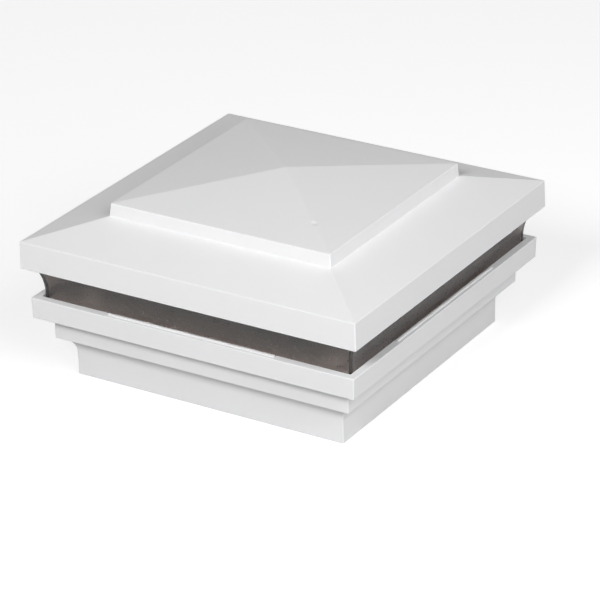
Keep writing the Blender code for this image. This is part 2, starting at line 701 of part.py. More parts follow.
def make_terminal_metal(poles, y):
    """The clamp, screw and contact bar of each pole. A clamp and a screw have their origins on the screw's axis."""
    seat = CLAMP_SEAT_Z + SEAT_GAP
    head = CLAMP_SCREW_HEAD_HEIGHT
    tip = BAR_TOP_Z + SOLDER_GAP - seat
    outline = [
        (0.0, head),
        (CLAMP_SCREW_HEAD_RADIUS, head),
        (CLAMP_SCREW_HEAD_RADIUS, 0.0),
        (CLAMP_SCREW_RADIUS, 0.0),
        (CLAMP_SCREW_RADIUS, tip),
        (0.0, tip),
    ]
    screw = round_turned("terminal_screw", outline, "steel", steps=20)
    reach = CLAMP_SCREW_HEAD_RADIUS + CUT_PAST
    slot = ((-reach, -head / 5, head / 2), (reach, head / 5, head + CUT_PAST))
    cut_boxes(screw, "terminal_screw_slot", [slot])
    screw = finished_mesh(screw)
    clamp = add_part("wire_clamp", block_mesh((CLAMP_WIDTH, CLAMP_DEPTH, CLAMP_HEIGHT)), "nickelled_brass")
    window_half = CLAMP_WIDTH / 2 - CLAMP_WALL
    window = (
        (-window_half, -CLAMP_DEPTH, CLAMP_WALL),
        (window_half, CLAMP_DEPTH, CLAMP_HEIGHT - CLAMP_WALL),
    )
    cut_boxes(clamp, "clamp_window", [window])
    thread = CLAMP_SCREW_RADIUS + SCREW_CLEARANCE
    cut_cylinders(clamp, "clamp_thread", [(0.0, 0.0)], thread, CLAMP_HEIGHT / 2, CLAMP_HEIGHT + CUT_PAST)
    clamp = finished_mesh(clamp)
    half = BAR_WIDTH / 2
    bar_under = BAR_TOP_Z - BAR_THICKNESS
    for (side, _), pole in zip(SIDES.items(), poles):
        add_part("terminal_screw_" + side, screw, "steel", (pole, y, seat))
        add_part("wire_clamp_" + side, clamp, "nickelled_brass", (pole, y, CLAMP_Z))
        tongue = ((pole - half, BAR_BACK_Y, bar_under), (pole + half, BAR_FRONT_Y, BAR_TOP_Z))
        bar = add_part("contact_bar_" + side, boxes("contact_bar", [tongue]), "nickelled_brass")
        leg = ((pole - half, BAR_BACK_Y, CHIPS_Z), (pole + half, BAR_BACK_Y + BAR_THICKNESS, bar_under + OVERLAP))
        join_boxes(bar, "contact_leg_" + side, [leg])


def make_looks():
    return {
        "white_asa": make_material("white_asa", (0.80, 0.80, 0.81), 0.35),
        "white_abs": make_material("white_abs", (0.78, 0.78, 0.77), 0.45),
        "smoked_pc": make_material("smoked_pc", (0.09, 0.08, 0.07), 0.12, alpha=0.6),
        "epdm": make_material("epdm", (0.02, 0.02, 0.02), 0.8),
        "steel": make_material("steel", (0.56, 0.56, 0.55), 0.3, 1.0),
        "aluminium": make_material("aluminium", (0.72, 0.72, 0.73), 0.35, 1.0),
        "silicone": make_material("silicone", (0.35, 0.37, 0.40), 0.7),
        "solder_mask": make_material("solder_mask", (0.82, 0.83, 0.80), 0.3),
        "led_package": make_material("led_package", (0.85, 0.74, 0.36), 0.3),
        "black_epoxy": make_material("black_epoxy", (0.02, 0.02, 0.022), 0.4),
        "ferrite": make_material("ferrite", (0.07, 0.07, 0.075), 0.6),
        "green_pa": make_material("green_pa", (0.05, 0.25, 0.11), 0.45),
        "nickelled_brass": make_material("nickelled_brass", (0.66, 0.62, 0.54), 0.3, 1.0),
    }


for leftover in list(bpy.data.objects):
    bpy.data.objects.remove(leftover)
PARTS = new_collection("lighted_fence_post_cap")
HELPERS = new_collection("cutters")
LOOKS = make_looks()

make_base_trim()
make_deck_plate()
make_seals()
make_lens_ring()
make_top_cap()
make_grommet()
make_peg_sockets()
make_screws()
make_led_board()
make_leds()
make_driver_parts()
make_terminal_block()
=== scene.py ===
"""Looks of a lighted cap for a square fence post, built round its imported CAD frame.

The mouldings, the lens and the small parts of the light module are modelled again, with the rounded edges
and surface detail of the real ones. Each takes the place of its CAD node and rides on that node's body.
Metres, +Z up, -Y is the front.
"""
import json
import math

import bmesh
import bpy
from bpy.props import FloatProperty, FloatVectorProperty, PointerProperty
from bpy.types import Operator, Panel, PropertyGroup
from mathutils import Matrix, Vector

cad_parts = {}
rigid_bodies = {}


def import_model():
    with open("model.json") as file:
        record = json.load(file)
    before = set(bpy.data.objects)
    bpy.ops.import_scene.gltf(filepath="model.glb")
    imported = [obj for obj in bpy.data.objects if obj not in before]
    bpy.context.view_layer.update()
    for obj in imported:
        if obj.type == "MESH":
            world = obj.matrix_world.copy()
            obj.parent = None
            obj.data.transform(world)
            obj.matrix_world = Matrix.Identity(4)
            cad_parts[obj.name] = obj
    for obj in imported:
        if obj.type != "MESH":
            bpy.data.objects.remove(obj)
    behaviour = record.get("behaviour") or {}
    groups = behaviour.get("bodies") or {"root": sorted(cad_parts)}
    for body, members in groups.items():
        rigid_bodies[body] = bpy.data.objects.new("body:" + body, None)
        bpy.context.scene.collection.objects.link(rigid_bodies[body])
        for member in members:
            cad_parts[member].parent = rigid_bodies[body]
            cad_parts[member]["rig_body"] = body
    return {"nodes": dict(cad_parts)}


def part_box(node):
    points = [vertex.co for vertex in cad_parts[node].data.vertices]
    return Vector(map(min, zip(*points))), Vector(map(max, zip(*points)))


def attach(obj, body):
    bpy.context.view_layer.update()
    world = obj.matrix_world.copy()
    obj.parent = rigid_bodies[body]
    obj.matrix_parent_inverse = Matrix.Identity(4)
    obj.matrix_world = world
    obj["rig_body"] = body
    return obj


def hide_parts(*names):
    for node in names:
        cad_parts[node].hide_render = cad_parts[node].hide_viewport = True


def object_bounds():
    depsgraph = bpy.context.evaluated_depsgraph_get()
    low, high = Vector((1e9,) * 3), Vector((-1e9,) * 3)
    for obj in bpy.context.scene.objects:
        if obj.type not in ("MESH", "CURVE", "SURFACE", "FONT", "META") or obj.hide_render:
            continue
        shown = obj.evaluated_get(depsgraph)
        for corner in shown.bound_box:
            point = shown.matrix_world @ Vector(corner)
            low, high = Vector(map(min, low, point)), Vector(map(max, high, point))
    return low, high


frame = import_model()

bl_info = {
    "name": "Lighted post cap",
    "version": (1, 0, 0),
    "blender": (4, 5, 0),
    "location": "3D View > Sidebar > Post cap",
    "description": "Models the visible pieces of a lighted fence post cap on its CAD frame",
    "category": "Add Mesh",
}

CAD_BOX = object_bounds()
CORNERS = ("front_left", "front_right", "back_right", "back_left")
POLES = ("left", "right")
LEDS = [node for node in sorted(frame["nodes"]) if node.startswith("led_") and node != "led_board"]
QUARTER_TURNS = [math.radians(degrees) for degrees in (0, 90, 180, 270)]
MERGE = 0.000002
LEAST_BEND = math.radians(6.0)
OVERLAP = 0.0003
CUT_PAST = 0.001
UP = (0.0, 0.0, 1.0)
DOWN = (0.0, 0.0, -1.0)
ETCHED = "etched"


def linear(hex_colour):
    """An sRGB hex colour as linear red, green, blue and alpha."""
    values = [int(hex_colour[i : i + 2], 16) / 255 for i in (1, 3, 5)]
    return (*[v / 12.92 if v <= 0.04045 else ((v + 0.055) / 1.055) ** 2.4 for v in values], 1.0)


def length(name, default):
    return FloatProperty(name=name, default=default, unit="LENGTH", precision=5)


def angle(name, degrees):
    return FloatProperty(name=name, default=math.radians(degrees), unit="ROTATION")


def number(name, default, unit="NONE"):
    return FloatProperty(name=name, default=default, unit=unit)


def colour(name, hex_colour):
    return FloatVectorProperty(name=name, default=linear(hex_colour), subtype="COLOR", size=4)


class TrimSizes(PropertyGroup):
    ledge_half: length("Half the width over the ledge", 0.0804)
    ledge_draft: length("How far the ledge's face leans in at its foot", 0.0003)
    ledge_inner_half: length("Half the width inside the ledge", 0.0769)
    step_half: length("Half the width over the step", 0.0736)
    skirt_half: length("Half the width over the skirt", 0.067)
    socket_half: length("Half the width inside the skirt", 0.06425)
    wall: length("Thickness of the moulding", 0.00275)
    top_z: length("Height of the ledge's top", 0.0392)
    ledge_z: length("Height of the ledge's foot", 0.0295)
    step_z: length("Height of the step's foot", 0.01865)
    cove_height: length("Height of the hollow under the step", 0.008)
    cove_land: length("Flat left between the hollow and the step's edge", 0.001)
    edge_radius: length("Radius of the moulding's edges", 0.00035)
    lip_length: length("Length of the low lip on each side of the ledge", 0.083)
    lip_inset: length("From the ledge's opening to the lip", 0.0008)
    lip_width: length("Width of the lip", 0.0012)
    lip_height: length("Height of the lip", 0.00075)
    lip_unevenness: length("How far the lip's edge wanders", 0.00014)
    boss_radius: length("Radius of the bosses for the deck's screws", 0.0035)
    rib_width: length("Width of the ribs that grip the post", 0.002)
    rib_height: length("How far the ribs stand in from the wall", 0.0005)
    rib_length: length("Upright length of the ribs", 0.012)
    rib_spacing: length("Between the two ribs of a side", 0.07)


class LensSizes(PropertyGroup):
    half: length("Half the width over the lens at its foot", 0.0766)
    wall: length("Thickness of the lens", 0.0023)
    straight_z: length("Height at which the lens starts to flare", 0.041)
    rim_z: length("Height at which the flare ends", 0.0534)
    flare: length("How far the lens flares out", 0.003)
    flange: length("Width of the flange on top", 0.009)
    corner_radius: length("Radius of the outer corners", 0.0026)
    edge_radius: length("Radius of the rim's edges", 0.0003)


class LidSizes(PropertyGroup):
    drip_half: length("Half the width over the lid's lower edge", 0.08307)
    drip_inner_half: length("Half the width inside the lower edge", 0.0804)
    eave_half: length("Half the width over the eave", 0.08275)
    foot_half: length("Half the width of the plinth at its foot", 0.055)
    plinth_half: length("Half the width of the plinth at its top", 0.0545)
    drip_z: length("Height of the lid's lower edge", 0.0534)
    eave_z: length("Height of the eave", 0.0659)
    foot_z: length("Height of the plinth's foot", 0.073)
    plinth_z: length("Height of the plinth's top edge", 0.0789)
    peak_z: length("Height of the peak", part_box("top_cap")[1].z)
    wall: length("Thickness of the lid", 0.0027)
    edge_radius: length("Radius of the eave, plinth and corners", 0.00035)
    foot_radius: length("Radius of the hollow at the plinth's foot", 0.0002)
    rib_half: length("Half the width over the rib that meets the seal", 0.0743)
    rib_width: length("Width of that rib", 0.002)
    rib_z: length("Height of that rib's lower edge", 0.0591)
    boss_radius: length("Radius of the bosses above the pegs", 0.0035)
    peg_radius: length("Radius of the pegs", 0.0022)
    peg_z: length("Height of the pegs' tips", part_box("top_cap")[0].z)
    shoulder_z: length("Height where a boss ends and its peg starts", 0.04925)
    gusset_width: length("Thickness of the gussets between boss and rib", 0.0016)
    gusset_z: length("Height of the gussets' lower edges", 0.0615)
    sink_share: number("Where the sink mark lies, from the peak to the corner", 0.664)
    sink_radius: length("Radius of the shallow mark on the front hip", 0.0021)
    sink_depth: length("Depth of that mark", 0.00028)


class DeckSizes(PropertyGroup):
    half: length("Half the width of the deck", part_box("deck_plate")[1].x)
    thickness: length("Thickness of the deck", 0.0026)
    top_z: length("Height of the deck's top", 0.03515)
    pad_half: length("Half the width of the pad that stops the post", 0.06225)
    rib_half: length("Half the width over the rib inside the lens", 0.074)
    rib_width: length("Width of that rib", 0.002)
    rib_height: length("Height of that rib", 0.0035)
    edge_radius: length("Radius of the deck's edges", 0.0003)
    post_radius: length("Radius of the posts that hold the peg sockets", 0.0052)
    post_z: length("Height of those posts' tops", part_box("deck_plate")[1].z)
    post_foot: length("Width of the slope round a post's foot", 0.001)
    socket_radius: length("Radius of the posts' bores", 0.0036)
    standoff_radius: length("Radius of the light module's standoffs", 0.0032)
    standoff_z: length("Height of the standoffs' tops", 0.03815)
    screw_hole_radius: length("Radius of the screw holes", 0.0017)
    wire_hole_radius: length("Radius of the hole for the grommet", 0.005)
    wire_recess_radius: length("Radius of the recess under the grommet", 0.0073)
    wire_recess_z: length("Height of that recess's end", 0.03345)


class FixingSizes(PropertyGroup):
    shank_radius: length("Radius over the screws' threads", 0.00145)
    head_radius: length("Radius of the screws' heads", 0.0028)
    head_height: length("Height of the screws' heads", 0.002)
    thread_pitch: length("From one thread of a screw to the next", 0.001)
    seal_radius: length("Radius of the edges of rubber parts", 0.0004)
    gasket_width: length("Width of the gasket under the lens", 0.0019)
    seal_width: length("Width of the seal on the lens", 0.0034)
    sleeve_radius: length("Radius over the sleeve of a peg socket", 0.0033)
    peg_bore: length("Radius of the hole in a peg socket", 0.0025)
    flange_height: length("Height of a peg socket's flange", 0.0015)
    wire_bore: length("Radius of the hole in the grommet", 0.0035)
    wire_neck: length("Radius over the grommet's neck", 0.0047)
    top_lip: length("Height of the grommet's upper lip", 0.0015)
    lower_lip: length("Height of the grommet's lower lip", 0.0012)


class ModuleSizes(PropertyGroup):
    corner_radius: length("Radius of the board's corners", 0.002)
    hole_radius: length("Radius of the holes for the board's screws", 0.0017)
    ring_radius: length("Radius of the plated rings round those holes", 0.0033)
    pad_reach: length("How far a solder pad shows beside its part", 0.0007)
    well_radius: length("Radius of an LED's well", 0.002)
    well_depth: length("Depth of an LED's well", 0.0004)
    leg_thickness: length("Thickness of the legs of the driver parts", 0.0002)
    chip_leg_pitch: length("Between two legs of the driver chip", 0.00127)
    can_foot: length("Height of the plate under the capacitor", 0.0011)


class TerminalSizes(PropertyGroup):
    fit: length("Gap round the moving metal parts", 0.0003)
    floor: length("Thickness of the block's floor", 0.0008)
    roof: length("Thickness between a clamp's cell and its screw's head", 0.0006)
    clamp_wall: length("Thickness of a clamp's walls", 0.0006)
    clamp_travel: length("How far a clamp rises", 0.0012)
    screw_radius: length("Radius of the clamp screws", 0.0011)
    head_radius: length("Radius of the clamp screws' heads", 0.0018)
    head_height: length("Height of the clamp screws' heads", 0.0014)
    thread_gap: length("Gap between a clamp screw and its clamp", 0.00025)
    bar_thickness: length("Thickness of the contact bars", 0.0005)
    edge_radius: length("Radius of the block's edges", 0.0002)


class Finishes(PropertyGroup):
    asa: colour("White of the lid and trim", "#E3E3E4")
    abs: colour("White of the deck", "#E3E3E1")
    smoke_skin: colour("What the two faces of the lens's wall let through", "#E6E3E0")
    smoke_dye: colour("The dye inside the lens's wall", "#A79996")
    epdm: colour("Black of the rubber parts", "#232324")
    steel: colour("Screws", "#C6C4BF")
    aluminium: colour("Heat sink and capacitor", "#DADBDC")
    silicone: colour("Thermal pad", "#9AA0A6")
    mask: colour("White coat of the board", "#EBECE8")
    solder: colour("Tinned pads and legs", "#CFCFCB")
    package: colour("White of the LEDs", "#EFEDE6")
    phosphor: colour("Yellow fill of the LEDs", "#E6C452")
    epoxy: colour("Black of the moulded driver parts", "#2A2A2C")
    ferrite: colour("Grey of the inductor", "#4B4B4E")
    polyamide: colour("Green of the terminal block", "#2F7A4A")
    nickel: colour("Clamps and contact bars", "#D5CDBB")
    floor: colour("The pale floor", "#B6B6B6")


class StageSettings(PropertyGroup):
    azimuth: angle("Camera's turn from the front towards the right", 31.85)
    elevation: angle("Camera's angle above the floor", 25.43)
    roll: angle("Camera's turn about its own line of sight", -1.26)
    distance: length("From the origin to the camera", 1.3787)
    aside: length("How far the camera is moved to its own right", 0.00439)
    raised: length("How far the camera is moved along its own upright", 0.02077)
    focal_length: number("Focal length in mm", 187.05, "CAMERA")
    front_azimuth: angle("Front light's turn from the front towards the right", 5.0)
    side_azimuth: angle("Side light's turn from the front towards the right", 70.0)
    back_azimuth: angle("Back light's turn from the front towards the right", 222.0)
    front_elevation: angle("Angle of the front light above the floor", 35.0)
    side_elevation: angle("Angle of the side light above the floor", 33.0)
    back_elevation: angle("Angle of the back light above the floor", 8.0)
    light_distance: length("From the object to each light", 1.5)
    small_width: length("Width of the front light and of the back light", 0.4)
    wide_width: length("Width of the side light", 1.1)
    front_power: number("Power of the front light", 15.6, "POWER")
    side_power: number("Power of the side light", 18.4, "POWER")
    back_power: number("Power of the back light", 4.0, "POWER")
    ambient: number("Strength of the light from all round", 0.02)
    floor_glow: number("What makes the floor white to the eye", 0.66)
    floor_size: length("Width of the floor", 8.0)
    floor_gap: length("How far the floor lies under the skirt, so that they don't coincide", 0.00002)


class PostCapSettings(PropertyGroup):
    trim: PointerProperty(type=TrimSizes)
    lens: PointerProperty(type=LensSizes)
    lid: PointerProperty(type=LidSizes)
    deck: PointerProperty(type=DeckSizes)
    fixings: PointerProperty(type=FixingSizes)
    module: PointerProperty(type=ModuleSizes)
    terminals: PointerProperty(type=TerminalSizes)
    finishes: PointerProperty(type=Finishes)
    stage: PointerProperty(type=StageSettings)


# Selecting and finishing


def deselect_all():
    if bpy.context.mode != "OBJECT":
        bpy.ops.object.mode_set(mode="OBJECT")
    bpy.ops.object.select_all(action="DESELECT")


def take(*pieces):
    """Selects these pieces alone. The first is the active one."""
    deselect_all()
    for piece in pieces:
        piece.select_set(True)
    bpy.context.view_layer.objects.active = pieces[0]


def settle(piece):
    """Puts a piece's place and turn into its mesh, so that its object is at the origin."""
    take(piece)
    bpy.ops.object.transform_apply(location=True, rotation=True, scale=True)


def edit(piece, kind, test):
    """Goes into edit mode with only the vertices, edges or faces that pass the test selected."""
    take(piece)
    bpy.ops.object.mode_set(mode="EDIT")
    bpy.ops.mesh.select_mode(type=kind)
    bpy.ops.mesh.select_all(action="DESELECT")
    mesh = bmesh.from_edit_mesh(piece.data)
    elements = {"VERT": mesh.verts, "EDGE": mesh.edges, "FACE": mesh.faces}[kind]
    for element in elements:
        if test(element):
            element.select_set(True)
    mesh.select_flush_mode()
    bmesh.update_edit_mesh(piece.data)


def leave_edit():
    bpy.ops.object.mode_set(mode="OBJECT")


def shape_with(piece, kind, **settings):
    """Adds a modifier and applies it."""
    take(piece)
    modifier = piece.modifiers.new(kind.title(), kind)
    for name, value in settings.items():
        setattr(modifier, name, value)
    bpy.ops.object.modifier_apply(modifier=modifier.name)


def soften(piece, width, segments=2, least_angle=35.0):
    """Rounds all edges that turn by more than an angle."""
    limit = math.radians(least_angle)
    shape_with(piece, "BEVEL", width=width, segments=segments, limit_method="ANGLE", angle_limit=limit)


def round_edges(piece, test, width, segments=4):
    edit(piece, "EDGE", test)
    bpy.ops.mesh.bevel(offset=width, segments=segments, affect="EDGES")
    leave_edit()


def combine(piece, tool, operation):
    """Joins a tool to a piece or cuts it away. The tool goes."""
    shape_with(piece, "BOOLEAN", operation=operation, solver="EXACT", object=tool)
    take(tool)
    bpy.ops.object.delete()


def cut(piece, tool):
    combine(piece, tool, "DIFFERENCE")


def weld(piece, tool):
    combine(piece, tool, "UNION")


def gather(*pieces):
    """Makes one object of several. The first keeps its name."""
    take(*pieces)
    if len(pieces) > 1:
        bpy.ops.object.join()
    return pieces[0]


def copy_to(piece, place, turn=0.0):
    """A copy with its own mesh, turned about Z and moved to a place."""
    take(piece)
    bpy.ops.object.duplicate()
    copy = bpy.context.object
    copy.rotation_euler.z = turn
    copy.location = place
    settle(copy)
    return copy


def move_to(piece, place):
    piece.location = place
    settle(piece)
    return piece


def remove(piece):
    take(piece)
    bpy.ops.object.delete()


def spread(piece, places=((0.0, 0.0, 0.0),), turns=(0.0,)):
    """One object made of a copy at each place and turn. The pattern piece goes."""
    copies = [copy_to(piece, place, turn) for place in places for turn in turns]
    remove(piece)
    return gather(*copies)


def dress(piece, finish):
    piece.data.materials.clear()
    piece.data.materials.append(material_of(finish))


def finish_piece(piece, node, finish=None, smooth=35.0):
    """Smooths a piece, and puts it in its CAD node's place, on its body and in its material slot."""
    if finish:
        dress(piece, finish)
    edit(piece, "VERT", lambda vertex: True)
    bpy.ops.mesh.remove_doubles(threshold=MERGE)
    leave_edit()
    settle(piece)
    bpy.ops.object.shade_smooth_by_angle(angle=math.radians(smooth))
    shape_with(piece, "WEIGHTED_NORMAL", keep_sharp=True)
    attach(piece, frame["nodes"][node]["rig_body"])
    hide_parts(node)


def place_copy(pattern, name, node, place, turn=0.0):
    """Finishes a copy of a pattern piece in a node's place."""
    copy = copy_to(pattern, place, turn)
    copy.name = name
    finish_piece(copy, node)


def middle(node):
    """The middle of a node's foot."""
    low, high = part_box(node)
    return Vector(((low.x + high.x) / 2, (low.y + high.y) / 2, low.z))


def under_heads(kind, head_height):
    """Where each screw of a kind bears, under its head."""
    places = [middle(kind + "_" + corner) for corner in CORNERS]
    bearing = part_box(kind + "_" + CORNERS[0])[1].z - head_height
    return [Vector((place.x, place.y, bearing)) for place in places]


def flat_place(node):
    """The upright line on which a node stands."""
    return (*middle(node)[:2], 0.0)


def flat_places(kind):
    return [flat_place(kind + "_" + corner) for corner in CORNERS]


# Drawing and turning outlines


def arc(centre, radius, start, end, steps):
    angles = [start + (end - start) * i / steps for i in range(steps + 1)]
    return [(centre[0] + radius * math.cos(a), centre[1] + radius * math.sin(a)) for a in angles]


def rounded(points, radius, steps=4):
    """A line of points with an arc at each corner between its ends."""
    line = [points[0]]
    for before, corner, after in zip(points, points[1:], points[2:]):
        corner = Vector(corner)
        inward = (Vector(before) - corner).normalized()
        onward = (Vector(after) - corner).normalized()
        half = inward.angle(onward) / 2
        centre = corner + (inward + onward).normalized() * radius / math.sin(half)
        first = (corner + inward * radius / math.tan(half) - centre).normalized()
        last = (corner + onward * radius / math.tan(half) - centre).normalized()
        line.extend(tuple(centre + first.slerp(last, i / steps) * radius) for i in range(steps + 1))
    line.append(points[-1])
    return line


def rounded_loop(points, radius, steps=4):
    """A closed outline with all its corners rounded."""
    return rounded(points[-1:] + points + points[:1], radius, steps)[1:-1]


def draw(name, points):
    """Draws a line of edges: a plane merged to one vertex, then extruded from point to point."""
    deselect_all()
    bpy.ops.mesh.primitive_plane_add(size=0.001, location=points[0])
    piece = bpy.context.object
    piece.name = name
    settle(piece)
    bpy.ops.object.mode_set(mode="EDIT")
    bpy.ops.mesh.select_mode(type="VERT")
    bpy.ops.mesh.select_all(action="SELECT")
    bpy.ops.mesh.merge(type="CENTER")
    for start, end in zip(points, points[1:]):
        step = Vector(end) - Vector(start)
        bpy.ops.mesh.extrude_region_move(TRANSFORM_OT_translate={"value": step})
    return piece


def turn_outline(name, outline, steps=48, closed=False):
    """Spins an outline of radii and heights about Z. Four steps give a square, and radii are half-widths."""
    path = outline + outline[:1] if closed else outline
    points = [(radius, radius if steps == 4 else 0.0, z) for radius, z in path]
    piece = draw(name, points)
    bpy.ops.mesh.select_all(action="SELECT")
    bpy.ops.mesh.spin(steps=steps, angle=2 * math.pi, center=(0.0, 0.0, 0.0), axis=(0.0, 0.0, 1.0))
    bpy.ops.mesh.select_all(action="SELECT")
    bpy.ops.mesh.remove_doubles(threshold=MERGE)
    bpy.ops.mesh.normals_make_consistent(inside=False)
    leave_edit()
    return piece


def is_upright(edge, least):
    return abs(edge.verts[0].co.z - edge.verts[1].co.z) > least


def on_corner(edge, outline):
    """True for a bent edge along a mitred corner, between two points of a square's outline."""
    if edge.calc_face_angle(0.0) < LEAST_BEND:
        return False
    for vertex in edge.verts:
        half, z = abs(vertex.co.x), vertex.co.z
        if abs(half - abs(vertex.co.y)) > MERGE:
            return False
        if not any(abs(half - point[0]) < MERGE and abs(z - point[1]) < MERGE for point in outline):
            return False
    first, second = (vertex.co for vertex in edge.verts)
    return first.x * second.x >= 0.0 and first.y * second.y >= 0.0


def add_block(name, low, high):
    low, high = Vector(low), Vector(high)
    deselect_all()
    bpy.ops.mesh.primitive_cube_add(size=1.0, location=(low + high) / 2, scale=high - low)
    piece = bpy.context.object
    piece.name = name
    settle(piece)
    return piece


def add_cylinder(name, radius, low, high, at=(0.0, 0.0), sides=48):
    deselect_all()
    place = (at[0], at[1], (low + high) / 2)
    bpy.ops.mesh.primitive_cylinder_add(vertices=sides, radius=radius, depth=high - low, location=place)
    piece = bpy.context.object
    piece.name = name
    settle(piece)
    return piece


def taper(piece, towards, share):
    """Shrinks the end face that looks along a direction, about its own middle."""
    towards = Vector(towards)
    edit(piece, "FACE", lambda face: face.normal.dot(towards) > 0.9)
    mesh = bmesh.from_edit_mesh(piece.data)
    centre = next(face.calc_center_median() for face in mesh.faces if face.select)
    scale = [1.0 if abs(part) > 0.5 else share for part in towards]
    bpy.ops.transform.resize(value=scale, center_override=centre)
    leave_edit()


def bent_strip(name, line, width, thickness):
    """A strip of sheet metal: a line in the YZ plane, drawn out along X and thickened about itself."""
    strip = draw(name, [(-width / 2, y, z) for y, z in line])
    bpy.ops.mesh.select_all(action="SELECT")
    bpy.ops.mesh.extrude_region_move(TRANSFORM_OT_translate={"value": (width, 0.0, 0.0)})
    bpy.ops.mesh.select_all(action="SELECT")
    bpy.ops.mesh.normals_make_consistent(inside=False)
    leave_edit()
    shape_with(strip, "SOLIDIFY", thickness=thickness, offset=0.0, use_even_offset=True)
    return strip


# Materials


def add_node(tree, kind, settings=None, links=None):
    """Adds a node with its settings, which are properties or values of inputs, and its links."""
    node = tree.nodes.new(kind)
    for name, value in (settings or {}).items():
        if isinstance(name, int) or name in node.inputs:
            node.inputs[name].default_value = value
        else:
            setattr(node, name, value)
    for name, source in (links or {}).items():
        tree.links.new(source, node.inputs[name])
    return node


def per_metre(millimetres):
    """The texture scale that gives a pattern of this size."""
    return 1000.0 / millimetres


def shade_of(colour, share):
    return (*[value * share for value in colour[:3]], 1.0)


def start_material(name):
    material = bpy.data.materials.new(name)
    material.use_nodes = True
    tree = material.node_tree
    place = add_node(tree, "ShaderNodeTexCoord").outputs["Object"]
    return material, tree, tree.nodes["Principled BSDF"], place


def noise(tree, place, millimetres, detail, roughness=0.5):
    """A cloudy pattern of this size."""
    settings = {"Scale": per_metre(millimetres), "Detail": detail, "Roughness": roughness}
    return add_node(tree, "ShaderNodeTexNoise", settings, {"Vector": place}).outputs["Fac"]


def blend(tree, share, colour, depth):
    """A colour that darkens to a depth of itself where the share is low."""
    settings = {"data_type": "RGBA", 6: shade_of(colour, depth), 7: colour}
    return add_node(tree, "ShaderNodeMix", settings, {0: share}).outputs[2]


def stretch(tree, value, low, high, span=(0.3, 0.7)):
    """Takes a span of a value, by default where most noise lies, to a range between two others."""
    settings = {"From Min": span[0], "From Max": span[1], "To Min": low, "To Max": high}
    return add_node(tree, "ShaderNodeMapRange", settings, {"Value": value}).outputs["Result"]


def relief(tree, height, strength, distance, links=None):
    settings = {"Strength": strength, "Distance": distance}
    return add_node(tree, "ShaderNodeBump", settings, {"Height": height, **(links or {})}).outputs["Normal"]


def connect(tree, shader, tint, roughness, normal):
    for name, source in (("Base Color", tint), ("Roughness", roughness), ("Normal", normal)):
        tree.links.new(source, shader.inputs[name])


# Plastics, rubber and ceramics. Each has its colour, its grain in mm and how high that stands in m, its
# roughness, the size of its clouds in mm and what they leave of the colour, and how strongly it mirrors.
MOULDINGS = {
    # ASA from a satin tool: an even, cool white with a soft sheen. Its 0.15 mm grain is drawn at 0.6 mm.
    "moulded_asa": ("asa", 0.6, 0.000012, 0.52, 24.0, 0.97, 0.14),
    # ABS from a blasted tool: flat white, with a coarser grain and hardly any sheen
    "moulded_abs": ("abs", 0.8, 0.00002, 0.55, 24.0, 0.97, 0.5),
    # EPDM rubber: dull black, with a dry bloom that greys it in patches
    "black_epdm": ("epdm", 0.5, 0.00003, 0.75, 5.0, 0.7, 0.5),
    # Filled silicone sheet: matt blue-grey, speckled by its filler
    "thermal_silicone": ("silicone", 0.25, 0.00002, 0.7, 0.7, 0.82, 0.5),
    # Filled polyphthalamide: a warm, chalky white that stays bright round the well
    "white_led_package": ("package", 0.2, 0.000008, 0.45, 2.0, 0.96, 0.5),
    # Silicone full of phosphor powder: egg yellow, with visible grains and a wet gloss
    "yellow_phosphor": ("phosphor", 0.15, 0.00002, 0.25, 0.3, 0.8, 0.5),
    # Transfer-moulded epoxy: charcoal, with a fine eroded grain
    "black_epoxy": ("epoxy", 0.2, 0.00002, 0.5, 1.5, 0.8, 0.5),
    # Sintered ferrite, ground: dark grey with pores that catch the light
    "sintered_ferrite": ("ferrite", 0.22, 0.00004, 0.55, 0.6, 0.65, 0.5),
    # Polyamide: green, half gloss, with slight cloudiness where it flowed
    "green_polyamide": ("polyamide", 0.4, 0.00001, 0.38, 4.0, 0.84, 0.5),
}
# Bare metals. Each has its colour, how many of its lines go to a metre along X, Y and Z, how high they stand
# in m, and its roughness.
METALS = {
    # Stainless steel, cold headed: a warm grey with a short, broken grain from the dies
    "stainless_steel": ("steel", (2600.0, 2600.0, 900.0), 0.000008, 0.3),
    # Rolled aluminium sheet: pale, with long fine lines along the roll, drawn at 0.4 mm so that they show
    "rolled_aluminium": ("aluminium", (60.0, 2500.0, 2500.0), 0.000008, 0.36),
    # Deep-drawn aluminium can: bright, with faint lines round it from the die
    "drawn_aluminium": ("aluminium", (120.0, 120.0, 4200.0), 0.000004, 0.24),
    # Tin solder, reflowed: bright and a little lumpy
    "tin_solder": ("solder", (1400.0, 1400.0, 1400.0), 0.00003, 0.28),
    # Nickel plate over stamped brass: warm silver with lines from the strip
    "nickel_plate": ("nickel", (300.0, 3600.0, 3600.0), 0.000006, 0.26),
}


def moulded(name, finishes):
    """A moulded surface: its tool's grain breaks up the gloss, and the colour clouds a little."""
    colour, grain, height, roughness, clouds, depth, mirror = MOULDINGS[name]
    material, tree, shader, place = start_material(name)
    fine = noise(tree, place, grain, 3.0, 0.6)
    tint = blend(tree, noise(tree, place, clouds, 4.0, 0.55), getattr(finishes, colour)[:], depth)
    gloss = stretch(tree, fine, roughness - 0.05, roughness + 0.05)
    connect(tree, shader, tint, gloss, relief(tree, fine, 0.5, height))
    shader.inputs["Specular IOR Level"].default_value = mirror
    return material


